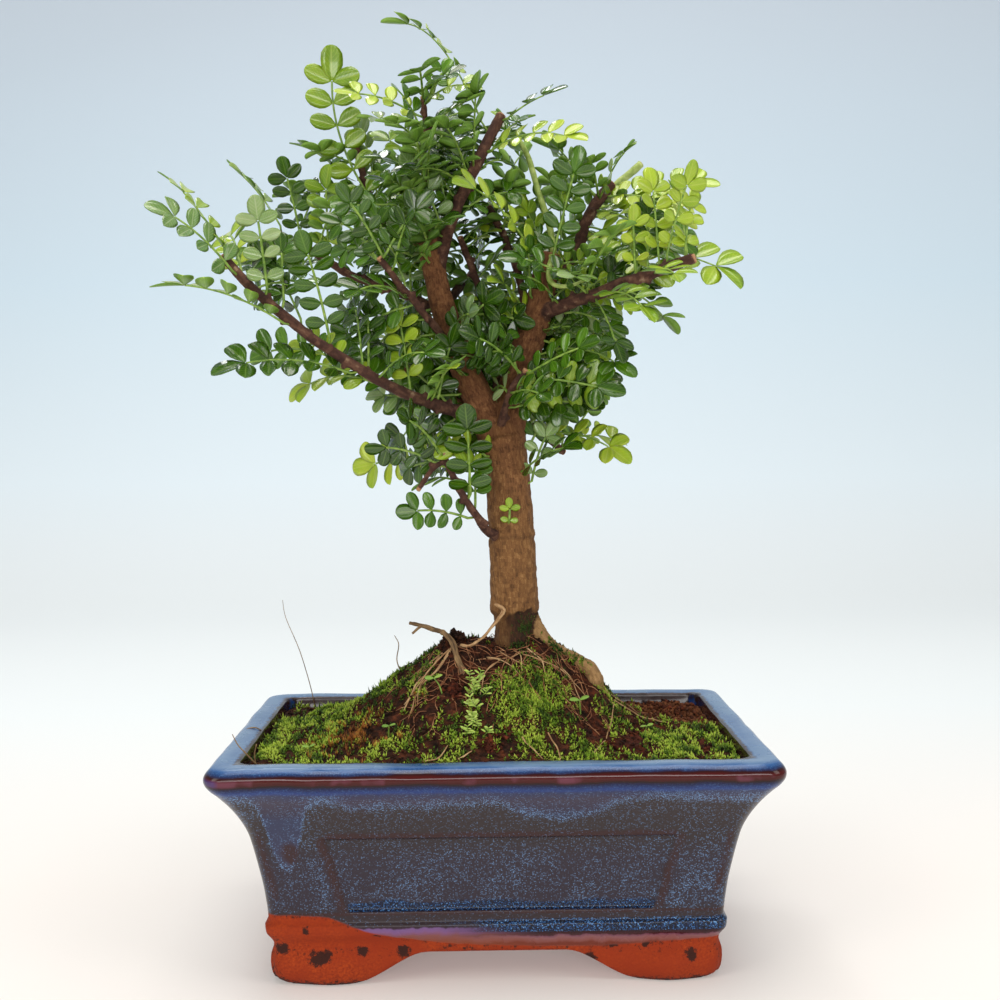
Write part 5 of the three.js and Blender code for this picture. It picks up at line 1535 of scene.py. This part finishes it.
# Name, place, width and height in metres, watts and colour
SOFTBOXES = [("above", (0.0, -0.1, 1.2), (0.75, 0.75), 9.6, "#FFFAF2"),
             ("back", (-0.3, 0.7, 1.15), (0.3, 0.3), 2.2, "#FFFFFF"),
             ("left", (-1.0, -0.8, 0.75), (0.6, 0.6), 4.2, "#FFF8EC"),
             ("right", (1.1, -0.6, 0.7), (0.6, 0.6), 3.4, "#FFFAF2"),
             ("strip", (0.0, -0.75, 0.25), (0.9, 0.12), 2.4, "#FFFFFF")]
# The camera's turns, its focal length and picture width in pixels, and the width of its sensor
YAW, PITCH, ROLL = math.radians(0.75), math.radians(2.58), math.radians(-0.54)
FOCAL_PIXELS, PICTURE_PIXELS, SENSOR = 1257.4, 1000, 36.0
WORLD_GLOW = 0.42


def make_lights():
    for name, place, size, power, code in SOFTBOXES:
        light = bpy.data.lights.new("softbox_" + name, "AREA")
        light.shape, light.energy, light.color = "RECTANGLE", power, colour(code)[:3]
        light.size, light.size_y = size
        lamp = put_object("softbox_" + name, light)
        lamp.location = place
        lamp.rotation_euler = (Vector((0, 0, 0.13)) - Vector(place)).to_track_quat("-Z", "Y").to_euler()
    world = bpy.data.worlds.new("studio")
    world.use_nodes = True
    feed(world.node_tree.nodes["Background"], {"Color": "#F4F2EE", "Strength": WORLD_GLOW})
    bpy.context.scene.world = world


def make_camera():
    lens = bpy.data.cameras.new("camera")
    lens.sensor_width = SENSOR
    lens.lens = FOCAL_PIXELS * SENSOR / PICTURE_PIXELS
    lens.clip_start = 0.01
    camera = put_object("camera", lens)
    forward = Vector((math.sin(YAW) * math.cos(PITCH), math.cos(YAW) * math.cos(PITCH), -math.sin(PITCH)))
    level = Vector((math.cos(YAW), -math.sin(YAW), 0))
    rise = level.cross(forward)
    right = level * math.cos(ROLL) + rise * math.sin(ROLL)
    up = rise * math.cos(ROLL) - level * math.sin(ROLL)
    turn = Matrix((right, up, -forward)).transposed().to_4x4()
    camera.matrix_world = Matrix.Translation(ORIGIN + MM * CAMERA_PLACE) @ turn
    bpy.context.scene.camera = camera


make_camera()
make_lights()
make_sweep()
bpy.context.scene.view_settings.view_transform = "Standard"

bark, moss, soil = make_bark(), make_moss(), make_soil()
dead_wood = make_woody("dry_dead_wood", ("#463524", "#7C6244", "#A6885E"), 0.8)
pale_root = make_woody("dry_root_skin", ("#785638", "#AC8860", "#D0AE84"), 0.8)
red_root = make_woody("fine_root_skin", ("#583020", "#8C5A3C", "#BC9068"), 0.6)
cut_wood = make_woody("pruned_sapwood", ("#7A4E38", "#A87C5A", "#C9A47C"), 1.2)
leaf_finishes = [
    make_leaf("waxy_leaf_old", ("#1E3C04", "#345C06", "#528014", "#8AAC44"), 0.2),
    make_leaf("waxy_leaf_young", ("#6A8E14", "#90AE20", "#B2C63A", "#CEDC70"), 0.30),
    # The pale leaves' lighter, whitish greens are painted sheen, a reflection on glossy leaflets
    make_leaf("waxy_leaf_pale_painted_sheen", ("#547838", "#7A9854", "#A2B67E", "#D0DAB4"), 0.17),
    make_leaf("leaf_underside", ("#4E7422", "#688E32", "#84AA46", "#A0C262"), 0.45, wax=0.05),
    make_stalk("leaf_stalk", ("#56782A", "#78983A", "#98B450")),
]
green_stem = make_stalk("green_shoot_skin", ("#7C9440", "#9CB058", "#B8C678"))

make_bowl_piece(make_glaze())
make_soil_piece(soil)
make_crumbs_piece(soil)
make_moss_pieces(moss)
make_tree_piece(bark)
make_cut_faces_piece(cut_wood)
make_more_leaves(leaf_finishes, make_leaf_pieces(leaf_finishes))
make_rootlets(pale_root, red_root)
make_dry_bits(dead_wood, pale_root, green_stem, cut_wood)
make_small_plants(make_leaf("soft_weed_leaf", ("#5E8A30", "#8AAC44", "#B0C65E", "#D0DC94"), 0.6, wax=0.0),
                  leaf_finishes[STALK])
drain_mesh = make_drain_mesh()
for name in ("drain_mesh_left", "drain_mesh_right"):
    mesh_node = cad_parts[name]
    for slot in mesh_node.material_slots:
        slot.material = drain_mesh
